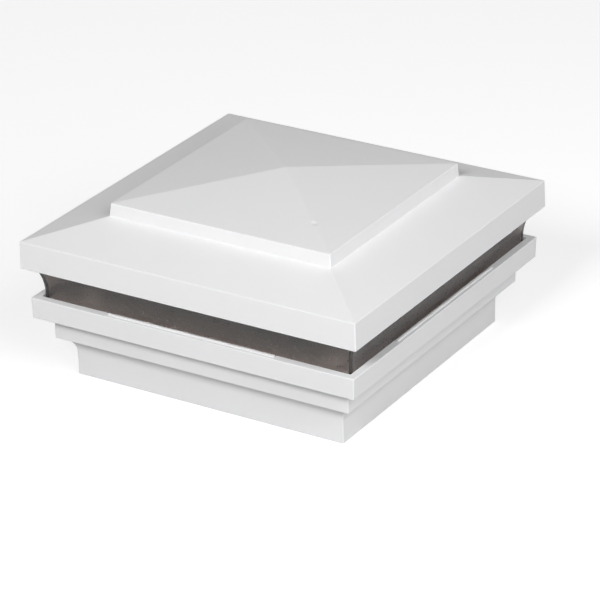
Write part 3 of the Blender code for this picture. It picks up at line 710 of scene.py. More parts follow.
def metal(name, finishes):
    """A bare metal with fine lines."""
    colour, lines, height, roughness = METALS[name]
    material, tree, shader, place = start_material(name)
    along = add_node(tree, "ShaderNodeMapping", {"Scale": lines}, {"Vector": place}).outputs["Vector"]
    fine = noise(tree, along, 1000.0, 3.0, 0.65)
    tint = blend(tree, fine, getattr(finishes, colour)[:], 0.86)
    gloss = stretch(tree, fine, roughness - 0.08, roughness + 0.08)
    connect(tree, shader, tint, gloss, relief(tree, fine, 0.4, height))
    shader.inputs["Metallic"].default_value = 1.0
    return material


def smoked_polycarbonate(name, finishes):
    # Polycarbonate dyed a brown smoke, deepest along the wall and at its edges. Outside it has the hard
    # gloss and faint ripples of a polished tool, inside the satin of an etched one, which blurs the view.
    material, tree, shader, place = start_material(name)
    skin = finishes.smoke_skin[:]
    ripple = noise(tree, place, 14.0, 2.0)
    haze = noise(tree, place, 0.9, 3.0)
    gloss = stretch(tree, haze, 0.04, 0.09)
    satin = stretch(tree, haze, 0.26, 0.36)
    etched = add_node(tree, "ShaderNodeAttribute", {"attribute_name": ETCHED}).outputs["Fac"]
    roughness = add_node(tree, "ShaderNodeMix", {"data_type": "FLOAT"}, {0: etched, 2: gloss, 3: satin})
    streaks = blend(tree, ripple, skin, 0.94)
    connect(tree, shader, streaks, roughness.outputs[0], relief(tree, ripple, 0.1, 0.00005))
    shader.inputs["Transmission Weight"].default_value = 0.95
    # The resin's own value is 1.58. A lower one matches how little the real wall mirrors.
    shader.inputs["IOR"].default_value = 1.33
    # Light from the lamps goes straight through, and takes half of the skin's tint at each face of the wall
    one_face = (*[math.sqrt(value) for value in skin[:3]], 1.0)
    clear = add_node(tree, "ShaderNodeBsdfTransparent", {"Color": one_face})
    to_lamp = add_node(tree, "ShaderNodeLightPath").outputs["Is Shadow Ray"]
    sides = {0: to_lamp, 1: shader.outputs["BSDF"], 2: clear.outputs["BSDF"]}
    both = add_node(tree, "ShaderNodeMixShader", None, sides)
    output = tree.nodes["Material Output"]
    tree.links.new(both.outputs["Shader"], output.inputs["Surface"])
    dye = add_node(tree, "ShaderNodeVolumeAbsorption", {"Color": finishes.smoke_dye[:], "Density": 520.0})
    tree.links.new(dye.outputs["Volume"], output.inputs["Volume"])
    return material


def white_solder_mask(name, finishes):
    # Screen-printed solder mask over copper: glossy white, with the tracks under it as ridges 4 mm apart
    material, tree, shader, place = start_material(name)
    layout = {"Scale": per_metre(8.0), "Mortar Size": 0.14, "Mortar Smooth": 0.35, "Bias": 0.0}
    layout.update({"Brick Width": 1.0, "Row Height": 0.5})
    tracks = add_node(tree, "ShaderNodeTexBrick", layout, {"Vector": place}).outputs["Fac"]
    peel = noise(tree, place, 0.7, 2.0)
    raised = relief(tree, tracks, 0.6, 0.00004, {"Normal": relief(tree, peel, 0.3, 0.00001)})
    gloss = stretch(tree, peel, 0.26, 0.4, (0.0, 1.0))
    connect(tree, shader, blend(tree, tracks, finishes.mask[:], 0.93), gloss, raised)
    return material


def material_of(name):
    """The material of this name, made once."""
    makers = {"smoked_polycarbonate": smoked_polycarbonate, "white_solder_mask": white_solder_mask}
    makers.update({**dict.fromkeys(MOULDINGS, moulded), **dict.fromkeys(METALS, metal)})
    return bpy.data.materials.get(name) or makers[name](name, bpy.context.scene.post_cap.finishes)


# Pieces


def trim_outside(size):
    depth = size.step_half - size.cove_land - size.skirt_half
    radius = (size.cove_height**2 + depth**2) / (2 * depth)
    centre = (size.skirt_half + radius, size.step_z - size.cove_height)
    start = math.pi - math.asin(size.cove_height / radius)
    cove = arc(centre, radius, start, math.pi, 16)
    upper = [
        (size.ledge_inner_half, size.top_z), (size.ledge_half, size.top_z),
        (size.ledge_half - size.ledge_draft, size.ledge_z), (size.step_half, size.ledge_z),
        (size.step_half, size.step_z), cove[0],
    ]
    lower = [cove[-1], (size.skirt_half, 0.0), (size.socket_half, 0.0)]
    return rounded(upper, size.edge_radius) + cove[1:-1] + rounded(lower, size.edge_radius)


def grip_ribs(size):
    low = (-size.rib_width / 2, -size.socket_half - OVERLAP, size.step_z - size.rib_length)
    high = (size.rib_width / 2, size.rib_height - size.socket_half, size.step_z)
    rib = add_block("grip_rib", low, high)
    taper(rib, (0.0, 1.0, 0.0), 0.6)
    aside = size.rib_spacing / 2
    pair = spread(rib, [(-aside, 0.0, 0.0), (aside, 0.0, 0.0)])
    return spread(pair, turns=QUARTER_TURNS)


def add_bosses(trim, size):
    places = flat_places("deck_screw")
    shelf = size.ledge_z + size.wall
    boss = add_cylinder("boss", size.boss_radius, size.step_z + size.wall / 2, shelf - OVERLAP)
    weld(trim, spread(boss, places))
    pilot = bpy.context.scene.post_cap.deck.screw_hole_radius
    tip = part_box("deck_screw_front_left")[0].z
    cut(trim, spread(add_cylinder("pilot", pilot, tip - CUT_PAST, shelf + CUT_PAST), places))


def ledge_lips(size):
    back = size.ledge_inner_half + size.lip_inset
    low = (-size.lip_length / 2, -back - size.lip_width, size.top_z - OVERLAP)
    high = (size.lip_length / 2, -back, size.top_z + size.lip_height)
    lip = add_block("ledge_lip", low, high)
    edit(lip, "EDGE", lambda edge: edge.calc_length() > size.lip_length / 2)
    bpy.ops.mesh.subdivide(number_cuts=48)
    leave_edit()
    top = size.top_z + size.lip_height - MERGE
    round_edges(lip, lambda edge: is_rim(edge, top), size.lip_height / 3, 2)
    edit(lip, "VERT", lambda vertex: vertex.co.z > size.top_z)
    bpy.ops.transform.vertex_random(offset=size.lip_unevenness, uniform=0.0, normal=0.0, seed=5)
    leave_edit()
    return spread(lip, turns=QUARTER_TURNS)


def is_rim(edge, top):
    sharp = edge.is_manifold and edge.calc_face_angle() > 1.0
    return sharp and min(vertex.co.z for vertex in edge.verts) > top


class POSTCAP_OT_make_trim(Operator):
    """Model the stepped trim that slips over the post"""

    bl_idname = "post_cap.make_trim"
    bl_label = "Make trim"

    def execute(self, context):
        size = context.scene.post_cap.trim
        outside = trim_outside(size)
        inner_step = size.step_half - size.wall
        inside = [
            (size.socket_half, size.step_z + size.wall), (inner_step, size.step_z + size.wall),
            (inner_step, size.ledge_z + size.wall), (size.ledge_inner_half, size.ledge_z + size.wall),
        ]
        trim = turn_outline("stepped_trim", outside + inside, 4, closed=True)
        round_edges(trim, lambda edge: on_corner(edge, outside), size.edge_radius)
        # The rounded corners leave the foot a hair out of level
        edit(trim, "VERT", lambda vertex: vertex.co.z < 5 * MERGE)
        bpy.ops.transform.resize(value=(1.0, 1.0, 0.0), center_override=(0.0, 0.0, 0.0))
        leave_edit()
        weld(trim, grip_ribs(size))
        add_bosses(trim, size)
        finish_piece(gather(trim, ledge_lips(size)), "base_trim", "moulded_asa")
        return {"FINISHED"}


def looks_inward(face):
    return face.normal.x * face.center.x + face.normal.y * face.center.y < 0.0


class POSTCAP_OT_make_lens(Operator):
    """Model the smoked lens ring, flared under the eave, with its flange"""

    bl_idname = "post_cap.make_lens"
    bl_label = "Make lens"

    def execute(self, context):
        size = context.scene.post_cap.lens
        foot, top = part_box("lens_ring")[0].z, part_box("lens_ring")[1].z
        rise = size.rim_z - size.straight_z
        radius = (rise**2 + size.flare**2) / (2 * size.flare)
        centre = (size.half + radius, size.straight_z)
        rim_angle = math.pi - math.asin(rise / radius)
        flare = arc(centre, radius, rim_angle, math.pi, 14)
        hollow = arc(centre, radius + size.wall, math.pi, rim_angle, 14)
        rim = size.half + size.flare
        edge = size.edge_radius
        inner = size.half - size.wall
        outer_foot = rounded([flare[-1], (size.half, foot), (inner, foot)], edge)
        flange = rim - size.flange
        under = top - size.wall
        above = rounded([(flange, under), (flange, top), (rim, top), flare[0]], edge)
        # The last arc of this line and the point before it lie on the lens's outside
        outside = above[-7:-1] + flare + outer_foot[1:-1]
        inside = [(inner, foot)] + hollow + [(hollow[-1][0], under)]
        lens = turn_outline("smoked_lens", outside + inside + above[:-7], 4, closed=True)
        round_edges(lens, lambda edge: on_corner(edge, outside), size.corner_radius, 6)
        round_edges(lens, lambda edge: on_corner(edge, inside), size.corner_radius - size.wall, 6)
        etched = lens.data.attributes.new(ETCHED, "FLOAT", "FACE")
        for face in lens.data.polygons:
            etched.data[face.index].value = float(looks_inward(face))
        finish_piece(lens, "lens_ring", "smoked_polycarbonate")
        return {"FINISHED"}


def lid_outside(size):
    eave = (size.eave_half, size.eave_z)
    foot = (size.foot_half, size.foot_z)
    plinth = (size.plinth_half, size.plinth_z)
    drip = (size.drip_half, size.drip_z)
    upper = rounded([(0.0, size.peak_z), plinth, foot], size.edge_radius)
    hollow = rounded([plinth, foot, eave], size.foot_radius, 6)
    lower = rounded([foot, eave, drip, (size.drip_inner_half, size.drip_z)], size.edge_radius)
    return upper[:-1] + hollow[1:-1] + lower[1:]


def lid_inside(size):
    peak = (size.peak_z - size.plinth_z) / size.plinth_half
    peak_drop = size.wall * math.hypot(1.0, peak)
    eave = size.eave_half - size.wall
    foot = size.foot_half - size.wall
    plinth = size.plinth_half - size.wall
    rib = size.rib_half - size.rib_width
    return [
        (eave, lid_ceiling(size, eave)), (size.rib_half, lid_ceiling(size, size.rib_half)),
        (size.rib_half, size.rib_z), (rib, size.rib_z), (rib, lid_ceiling(size, rib)),
        (foot, lid_ceiling(size, foot)), (plinth, size.peak_z - peak * plinth - peak_drop),
        (0.0, size.peak_z - peak_drop),
    ]


def lid_ceiling(size, half):
    hip = (size.foot_z - size.eave_z) / (size.eave_half - size.foot_half)
    return size.eave_z + (size.eave_half - half) * hip - size.wall * math.hypot(1.0, hip)


def add_pegs(lid, size):
    places = flat_places("peg_socket")
    away = places[2][0]
    ceiling = lid_ceiling(size, away) + size.wall / 2
    boss, peg = size.boss_radius, size.peg_radius
    outline = [
        (0.0, ceiling), (boss, ceiling), (boss, size.shoulder_z), (peg, size.shoulder_z),
        (peg, size.peg_z), (0.0, size.peg_z),
    ]
    pegs = turn_outline("peg", outline[:1] + rounded(outline[1:], size.edge_radius / 2))
    rib = size.rib_half - size.rib_width
    roof = (lid_ceiling(size, away + boss) + lid_ceiling(size, rib) + size.wall) / 2
    low = (boss - OVERLAP, -size.gusset_width / 2, size.gusset_z)
    high = (rib + OVERLAP - away, size.gusset_width / 2, roof)
    gusset = add_block("gusset", low, high)
    weld(lid, spread(pegs, places))
    for place, turns in zip(places, ((2, 3), (3, 0), (0, 1), (1, 2))):
        for turn in turns:
            weld(lid, copy_to(gusset, place, QUARTER_TURNS[turn]))
    remove(gusset)


def press_sink_mark(lid, size):
    """Presses a shallow round mark into the front hip, where the plastic shrank as it cooled."""
    depth = size.sink_depth
    ball = (size.sink_radius**2 + depth**2) / (2 * depth)
    # The bowl goes on past the surface, and a short cylinder stands on it, so that the cut is clean
    reach = 1.4 * math.asin(size.sink_radius / ball)
    bowl = arc((0.0, ball - depth), ball, reach - math.pi / 2, -math.pi / 2, 10)
    rim, above = bowl[0][0], 3 * bowl[0][1]
    mark = turn_outline("sink_mark", [(0.0, above), (rim, above), *bowl])
    half = size.plinth_half * size.sink_share
    height = size.peak_z - (size.peak_z - size.plinth_z) * size.sink_share
    cut(lid, spread(mark, [(half, -half, height)]))


class POSTCAP_OT_make_lid(Operator):
    """Model the hipped lid with its plinth, seal rib, bosses and pegs"""

    bl_idname = "post_cap.make_lid"
    bl_label = "Make lid"

    def execute(self, context):
        size = context.scene.post_cap.lid
        outside = lid_outside(size)
        lid = turn_outline("hipped_lid", outside + lid_inside(size), 4)
        round_edges(lid, lambda edge: on_corner(edge, outside), size.edge_radius)
        add_pegs(lid, size)
        press_sink_mark(lid, size)
        finish_piece(lid, "top_cap", "moulded_asa", smooth=28.0)
        return {"FINISHED"}


def add_posts(deck, size):
    inside = size.top_z - size.thickness / 2
    kinds = (
        ("peg_socket", size.post_radius, size.post_z),
        ("board_screw", size.standoff_radius, size.standoff_z),
    )
    for kind, radius, top in kinds:
        outline = [
            (0.0, top), (radius, top), (radius, size.top_z + size.post_foot),
            (radius + size.post_foot + OVERLAP, size.top_z - OVERLAP), (0.0, inside),
        ]
        post = turn_outline("post", rounded(outline, size.edge_radius, 3))
        weld(deck, spread(post, flat_places(kind)))


def cut_holes(deck, size, stop_z):
    inside = size.top_z - size.thickness / 2
    bore = add_cylinder("socket_bore", size.socket_radius, inside, size.post_z + CUT_PAST)
    cut(deck, spread(bore, flat_places("peg_socket")))
    hole = size.screw_hole_radius
    pilot = add_cylinder("pilot", hole, inside - OVERLAP, size.standoff_z + CUT_PAST)
    cut(deck, spread(pilot, flat_places("board_screw")))
    through = add_cylinder("screw_hole", hole, stop_z - CUT_PAST, size.top_z + CUT_PAST)
    cut(deck, spread(through, flat_places("deck_screw")))
    wire = middle("wire_grommet")[:2]
    low = stop_z - CUT_PAST
    cut(deck, add_cylinder("wire_hole", size.wire_hole_radius, low, size.top_z + CUT_PAST, wire, 64))
    cut(deck, add_cylinder("wire_recess", size.wire_recess_radius, low, size.wire_recess_z, wire, 64))


class POSTCAP_OT_make_deck(Operator):
    """Model the deck that closes the trim and carries the light module"""

    bl_idname = "post_cap.make_deck"
    bl_label = "Make deck"

    def execute(self, context):
        size = context.scene.post_cap.deck
        low_z = size.top_z - size.thickness
        stop_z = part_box("deck_plate")[0].z
        rib_top = size.top_z + size.rib_height
        rib_inner = size.rib_half - size.rib_width
        outside = [
            (rib_inner, size.top_z), (rib_inner, rib_top), (size.rib_half, rib_top),
            (size.rib_half, size.top_z), (size.half, size.top_z), (size.half, low_z),
            (size.pad_half, low_z), (size.pad_half, stop_z),
        ]
        outside = rounded([(0.0, size.top_z), *outside, (0.0, stop_z)], size.edge_radius, 3)
        deck = turn_outline("deck", outside, 4)
        upright = [point for point in outside if point[0] > rib_inner + size.rib_width / 2]
        round_edges(deck, lambda edge: on_corner(edge, upright), size.edge_radius * 2)
        add_posts(deck, size)
        cut_holes(deck, size, stop_z)
        finish_piece(deck, "deck_plate", "moulded_abs")
        return {"FINISHED"}


def rubber_socket(size):
    low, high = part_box("peg_socket_front_left")
    flange = (high.x - low.x) / 2
    seat = high.z - size.flange_height
    outline = [
        (flange, high.z), (flange, seat), (size.sleeve_radius, seat), (size.sleeve_radius, low.z),
        (size.peg_bore, low.z), (size.peg_bore, high.z),
    ]
    return turn_outline("socket", rounded_loop(outline, size.seal_radius / 2), closed=True)


def rubber_grommet(size):
    low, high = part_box("wire_grommet")
    flange = (high.x - low.x) / 2
    outline = [
        (flange, high.z), (flange, high.z - size.top_lip), (size.wire_neck, high.z - size.top_lip),
        (size.wire_neck, low.z + size.lower_lip), (flange, low.z + size.lower_lip), (flange, low.z),
        (size.wire_bore, low.z), (size.wire_bore, high.z),
    ]
    grommet = turn_outline("cable_grommet", rounded_loop(outline, size.seal_radius), closed=True)
    return move_to(grommet, flat_place("wire_grommet"))


class POSTCAP_OT_make_rubber(Operator):
    """Model the gasket, the seal, the peg sockets and the grommet"""

    bl_idname = "post_cap.make_rubber"
    bl_label = "Make rubber parts"

    def execute(self, context):
        size = context.scene.post_cap.fixings
        for name, node, width in (
            ("foot_gasket", "lens_gasket", size.gasket_width),
            ("crown_seal", "rim_seal", size.seal_width),
        ):
            low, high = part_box(node)
            ring = [(high.x, high.z), (high.x, low.z), (high.x - width, low.z), (high.x - width, high.z)]
            seal = turn_outline(name, rounded_loop(ring, size.seal_radius), 4, closed=True)
            finish_piece(seal, node, "black_epdm")
        socket = rubber_socket(size)
        dress(socket, "black_epdm")
        for corner in CORNERS:
            node = "peg_socket_" + corner
            place_copy(socket, "rubber_socket_" + corner, node, flat_place(node))
        remove(socket)
        finish_piece(rubber_grommet(size), "wire_grommet", "black_epdm")
        return {"FINISHED"}


def pan_head_screw(size, shank):
    head, top = size.head_radius, size.head_height
    flat, rim, fillet = 0.62 * head, 0.45 * top, 0.15 * top
    dome = rounded([(0.0, top), (flat, top), (head, rim), (head, 0.0), (0.0, 0.0)], fillet)
    crest, root = size.shank_radius, 0.78 * size.shank_radius
    pitch = size.thread_pitch
    thread = [(crest, 0.0), (crest, -pitch)]
    turns = int((shank - 2 * pitch) / pitch)
    for turn in range(1, turns + 1):
        z = -turn * pitch
        thread += [(root, z - 0.3 * pitch), (crest, z - pitch)]
    screw = turn_outline("screw", dome[:-1] + thread + [(0.0, -shank)], 40)
    arm, half, low = 0.58 * head, 0.13 * head, 0.42 * top
    for turn in QUARTER_TURNS[:2]:
        slot = add_block("recess", (-arm, -half, low), (arm, half, top + CUT_PAST))
        taper(slot, DOWN, 0.45)
        cut(screw, spread(slot, turns=[turn]))
    return screw


class POSTCAP_OT_make_screws(Operator):
    """Model the pan-head screws of the deck and the board"""

    bl_idname = "post_cap.make_screws"
    bl_label = "Make screws"

    def execute(self, context):
        size = context.scene.post_cap.fixings
        # No two screws of a kind end at the same turn
        for kind, turn in (("deck_screw", 0.4), ("board_screw", 0.9)):
            low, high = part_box(kind + "_" + CORNERS[0])
            screw = pan_head_screw(size, high.z - low.z - size.head_height)
            dress(screw, "stainless_steel")
            for place, corner in zip(under_heads(kind, size.head_height), CORNERS):
                node = kind + "_" + corner
                turned = turn * (place.x + 2 * place.y) / abs(place.x)
                place_copy(screw, "pan_head_" + node, node, place, turned)
            remove(screw)
        return {"FINISHED"}


def rounded_plate(name, node, finish, size, corner, drilled):
    low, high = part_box(node)
    plate = add_block(name, low, high)
    thickness = high.z - low.z
    round_edges(plate, lambda edge: is_upright(edge, thickness / 2), corner, 6)
    if drilled:
        hole = add_cylinder("hole", size.hole_radius, low.z - CUT_PAST, high.z + CUT_PAST)
        cut(plate, spread(hole, flat_places("board_screw")))
    soften(plate, thickness / 12, 2, 60.0)
    dress(plate, finish)
    return plate


def solder_pads(size):
    board_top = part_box("led_board")[1].z
    parts_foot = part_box("led_front_a")[0].z
    outer, inner = size.ring_radius, size.hole_radius
    low, high = board_top - OVERLAP, (board_top + parts_foot) / 2
    ring = [(outer, low), (outer, high), (inner, high), (inner, low)]
    rings = spread(turn_outline("plated_ring", ring, 40, closed=True), flat_places("board_screw"))
    made = [rings]
    for node in [*LEDS, "rectifier", "inductor", "capacitor"]:
        low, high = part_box(node)
        sideways = "front" in node or "back" in node
        made += pad_pair(low, high, sideways, board_top, parts_foot, size.pad_reach)
    return gather(*made)


def pad_pair(low, high, sideways, bottom, top, reach):
    """A solder pad at each end of a part, under it and showing beside it."""
    axis, across = (1, 0) if sideways else (0, 1)
    centre = (low + high) / 2
    width = 0.72 * (high[across] - low[across])
    half = width / 2
    pads = []
    for end, side in ((low[axis], -1), (high[axis], 1)):
        first, last = sorted((end - side * reach, end + side * reach))
        corner, other = [0.0, 0.0, bottom - OVERLAP], [0.0, 0.0, top]
        corner[axis], other[axis] = first, last
        corner[across], other[across] = centre[across] - half, centre[across] + half
        pad = add_block("solder_pad", corner, other)
        soften(pad, (top - bottom) / 2, 2)
        pads.append(pad)
    return pads


class POSTCAP_OT_make_module(Operator):
    """Model the heat sink, the thermal pad and the board with its solder pads"""

    bl_idname = "post_cap.make_module"
    bl_label = "Make light module"

    def execute(self, context):
        size = context.scene.post_cap.module
        sink_corner, pad_corner = 0.0006, 0.0015
        sink = rounded_plate("sink_plate", "heat_sink", "rolled_aluminium", size, sink_corner, True)
        finish_piece(sink, "heat_sink")
        pad = rounded_plate("filled_pad", "thermal_pad", "thermal_silicone", size, pad_corner, False)
        finish_piece(pad, "thermal_pad")
        corner = size.corner_radius
        board = rounded_plate("led_circuit", "led_board", "white_solder_mask", size, corner, True)
        pads = solder_pads(size)
        dress(pads, "tin_solder")
        finish_piece(gather(board, pads), "led_board")
        return {"FINISHED"}


def white_led(size):
    low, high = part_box(LEDS[0])
    half, top = (high.x - low.x) / 2, high.z - low.z
    package = add_block("led", (-half, -half, 0.0), (half, half, top))
    round_edges(package, at_pole_mark, half / 4, 1)
    soften(package, half / 25, 2)
    floor = top - size.well_depth
    rim, above = size.well_radius, top + CUT_PAST
    well = [(0.0, floor), (0.8 * rim, floor), (rim, top), (rim, above), (0.0, above)]
    cut(package, turn_outline("well", well, 40))
    dress(package, "white_led_package")
    depths = ((0.0, 0.2), (0.5 * rim, 0.24), (0.9 * rim, 0.45))
    surface = rounded([(radius, top - share * size.well_depth) for radius, share in depths], rim / 4)
    under = floor - OVERLAP / 3
    phosphor = turn_outline("phosphor", surface + [(0.9 * rim, under), (0.0, under)], 40)
    dress(phosphor, "yellow_phosphor")
    inner, outer = 0.7 * half, half + size.leg_thickness
    aside, foot_top = 0.66 * half, 0.3 * top
    foot = add_block("terminal", (inner, -aside, 0.0), (outer, aside, foot_top))
    soften(foot, size.leg_thickness / 3, 2)
    feet = spread(foot, turns=QUARTER_TURNS[::2])
    dress(feet, "tin_solder")
    return gather(package, phosphor, feet)


def at_pole_mark(edge):
    """True for the corner that is cut off to mark one pole."""
    return all(vertex.co.x > 0.0 and vertex.co.y > 0.0 for vertex in edge.verts)


class POSTCAP_OT_make_leds(Operator):
    """Model one LED with its well, phosphor and terminals, and copy it to each place"""

    bl_idname = "post_cap.make_leds"
    bl_label = "Make LEDs"

    def execute(self, context):
        size = context.scene.post_cap.module
        led = white_led(size)
        turns = {"right": 0, "back": 1, "left": 2, "front": 3}
        for node in LEDS:
            side = node.split("_")[1]
            place_copy(led, "white_" + node, node, middle(node), QUARTER_TURNS[turns[side]])
        remove(led)
        return {"FINISHED"}


def add_legged(name, node, size, legs, pitch, width, leg_share):
    """A moulded body with bent legs along two sides, which take a share of the node's depth on each."""
    low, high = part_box(node)
    half_x = (high.x - low.x) / 2
    half_y = (high.y - low.y) / 2 * (1 - leg_share * 2)
    tall = high.z - low.z
    stand_off = 0.1 * tall
    body = add_block(name, (-half_x, -half_y, stand_off), (half_x, half_y, tall))
    edit(body, "EDGE", lambda edge: is_upright(edge, tall / 2))
    bpy.ops.mesh.subdivide(number_cuts=1)
    leave_edit()
    for end in (UP, DOWN):
        taper(body, end, 0.92)
    soften(body, tall / 20, 2, 15.0)
    first_leg = (-0.7 * half_x, -0.6 * half_y)
    cut(body, add_cylinder("mark", half_y / 7, 0.95 * tall, tall + CUT_PAST, first_leg, 24))
    dress(body, "black_epoxy")
    sheet, bend = size.leg_thickness, 0.00015
    root, shoulder, heel, toe = (half_y + out for out in (-0.0003, 0.0002, 0.0004, 0.0009))
    line = [(root, 0.5 * tall), (shoulder, 0.5 * tall), (heel, sheet / 2), (toe, sheet / 2)]
    leg = bent_strip("leg", rounded(line, bend, 3), width, sheet)
    row = spread(leg, [((i - (legs - 1) / 2) * pitch, 0.0, 0.0) for i in range(legs)])
    both = spread(row, turns=QUARTER_TURNS[::2])
    dress(both, "tin_solder")
    finish_piece(move_to(gather(body, both), middle(node)), node)


def add_inductor():
    low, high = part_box("inductor")
    half = (high.x - low.x) / 2
    coil = add_block("shielded_inductor", low, high)
    tall = high.z - low.z
    round_edges(coil, lambda edge: is_upright(edge, tall / 2), half / 3, 3)
    soften(coil, tall / 14, 3, 60.0)
    outer, inner = 0.8 * half, 0.72 * half
    above, under = high.z + CUT_PAST, high.z - tall / 16
    groove = [(outer, above), (outer, under), (inner, under), (inner, above)]
    cut(coil, move_to(turn_outline("groove", groove, closed=True), flat_place("inductor")))
    finish_piece(coil, "inductor", "sintered_ferrite")


def add_capacitor(size):
    low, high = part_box("capacitor")
    radius, tall = (high.x - low.x) / 2, high.z - low.z
    foot = add_block("electrolytic_capacitor", (-radius, -radius, 0.0), (radius, radius, size.can_foot))
    round_edges(foot, at_plus_mark, radius / 4, 1)
    soften(foot, size.can_foot / 8, 2)
    dress(foot, "black_epoxy")
    wall, neck, bend, under = 0.97 * radius, 0.93 * radius, 0.0003, size.can_foot - OVERLAP / 3
    crimp = [(wall, 0.32 * tall), (neck, 0.27 * tall), (wall, 0.22 * tall)]
    outline = [(0.0, tall), (wall, tall), *crimp, (wall, under), (0.0, under)]
    can = turn_outline("can", rounded(outline, bend, 4), 64)
    reach, half, depth = 0.6 * radius, 0.00008, 0.0001
    for turn in QUARTER_TURNS[:2]:
        score = add_block("score", (-reach, -half, tall - depth), (reach, half, tall + CUT_PAST))
        cut(can, spread(score, turns=[turn]))
    dress(can, "drawn_aluminium")
    finish_piece(move_to(gather(foot, can), middle("capacitor")), "capacitor")


def at_plus_mark(edge):
    """True for the upright corners that are cut off to mark the positive side."""
    return is_upright(edge, MERGE) and all(vertex.co.x > 0.0 for vertex in edge.verts)


class POSTCAP_OT_make_driver(Operator):
    """Model the rectifier, the inductor, the driver chip and the capacitor"""

    bl_idname = "post_cap.make_driver"
    bl_label = "Make driver parts"

    def execute(self, context):
        size = context.scene.post_cap.module
        pitch, width = 0.0026, 0.0009
        add_legged("bridge_rectifier", "rectifier", size, 2, pitch, width, leg_share=0.0)
        width, leg_share = 0.00042, 0.25 / 1.5
        add_legged("driver_package", "driver_chip", size, 4, size.chip_leg_pitch, width, leg_share)
        add_inductor()
        add_capacitor(size)
        return {"FINISHED"}


def add_terminal_block(size):
    low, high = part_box("terminal_block")
    block = add_block("green_terminal_block", low, high)
    soften(block, size.edge_radius, 2)
    for pole in POLES:
        for tool in pole_hollows(size, pole, low, high):
            cut(block, tool)
    finish_piece(block, "terminal_block", "green_polyamide")


def pole_hollows(size, pole, low, high):
    """What is cut out for one pole: cell, wire funnel, slot for the bar, and the screw's hole."""
    clamp_low, clamp_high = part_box("wire_clamp_" + pole)
    bar_low, bar_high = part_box("contact_bar_" + pole)
    axis = middle("terminal_screw_" + pole)[:2]
    gap = Vector((size.fit, size.fit, 0.0))
    cell_top = clamp_high.z + size.clamp_travel + size.fit
    cell_low = clamp_low - gap
    cell_low.z = low.z + size.floor
    cell_high = clamp_high + gap
    cell_high.z = cell_top
    wall = size.clamp_wall
    bar_under = bar_high.z - size.bar_thickness
    inlet_low = (clamp_low.x + wall, axis[1], clamp_low.z + wall)
    inlet_high = (clamp_high.x - wall, high.y + CUT_PAST, bar_under)
    funnel_low = (clamp_low.x, high.y - 2 * wall, clamp_low.z)
    funnel_high = (clamp_high.x, high.y + OVERLAP, bar_under + wall)
    funnel = add_block("funnel", funnel_low, funnel_high)
    taper(funnel, (0.0, -1.0, 0.0), 0.66)
    slot_low = (bar_low.x - size.fit, bar_low.y - size.fit, low.z - CUT_PAST)
    slot_high = (bar_high.x + size.fit, axis[1], bar_high.z + size.fit)
    seat = cell_top + size.roof
    neck = size.screw_radius + size.fit
    collar = size.head_radius + size.fit
    return [
        add_block("cell", cell_low, cell_high),
        add_block("inlet", inlet_low, inlet_high),
        funnel,
        add_block("slot", slot_low, slot_high),
        add_cylinder("neck", neck, clamp_high.z, seat + CUT_PAST, axis, 40),
        add_cylinder("collar", collar, seat, high.z + CUT_PAST, axis, 40),
    ]


def wire_clamp(size):
    low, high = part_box("wire_clamp_left")
    half_x, half_y = (high.x - low.x) / 2, (high.y - low.y) / 2
    tall, wall = high.z - low.z, size.clamp_wall
    clamp = add_block("clamp", (-half_x, -half_y, 0.0), (half_x, half_y, tall))
    inner = half_x - wall
    cut(clamp, add_block("window", (-inner, -2 * half_y, wall), (inner, 2 * half_y, tall - wall)))
    soften(clamp, wall / 5, 2)
    hole = size.screw_radius + size.thread_gap
    cut(clamp, add_cylinder("thread", hole, tall / 2, tall + CUT_PAST))
    dress(clamp, "nickel_plate")
    return clamp


def clamp_screw(size):
    low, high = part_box("terminal_screw_left")
    tall = high.z - low.z
    seat = tall - size.head_height
    outline = [
        (0.0, tall), (size.head_radius, tall), (size.head_radius, seat), (size.screw_radius, seat),
        (size.screw_radius, 0.0), (0.0, 0.0),
    ]
    fillet = 0.00015
    screw = turn_outline("screw", rounded(outline, fillet, 3), 40)
    reach, half, depth = size.head_radius + CUT_PAST, size.head_height / 5, size.head_height / 2
    cut(screw, add_block("slot", (-reach, -half, tall - depth), (reach, half, tall + CUT_PAST)))
    dress(screw, "stainless_steel")
    return screw


def contact_bar(size):
    low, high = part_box("contact_bar_left")
    tall, reach = high.z - low.z, high.y - low.y
    half = size.bar_thickness / 2
    line = rounded([(half, 0.0), (half, tall - half), (reach, tall - half)], size.bar_thickness)
    bar = bent_strip("bar", line, high.x - low.x, size.bar_thickness)
    soften(bar, size.bar_thickness / 8, 2)
    dress(bar, "nickel_plate")
    return bar


class POSTCAP_OT_make_terminals(Operator):
    """Model the terminal block with its contact bars, clamps and clamp screws"""

    bl_idname = "post_cap.make_terminals"
    bl_label = "Make terminals"

    def execute(self, context):
        size = context.scene.post_cap.terminals
        add_terminal_block(size)
        clamp, screw, bar = wire_clamp(size), clamp_screw(size), contact_bar(size)
        for pole in POLES:
            for name, pattern in (("wire_clamp", clamp), ("terminal_screw", screw), ("contact_bar", bar)):
                node = name + "_" + pole
                place = middle(node)
                if name == "contact_bar":
                    place.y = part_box(node)[0].y
                place_copy(pattern, "metal_" + node, node, place)
        for pattern in (clamp, screw, bar):
            remove(pattern)
        return {"FINISHED"}


def direction(azimuth, elevation):
    flat = math.cos(elevation)
    return Vector((math.sin(azimuth) * flat, -math.cos(azimuth) * flat, math.sin(elevation)))


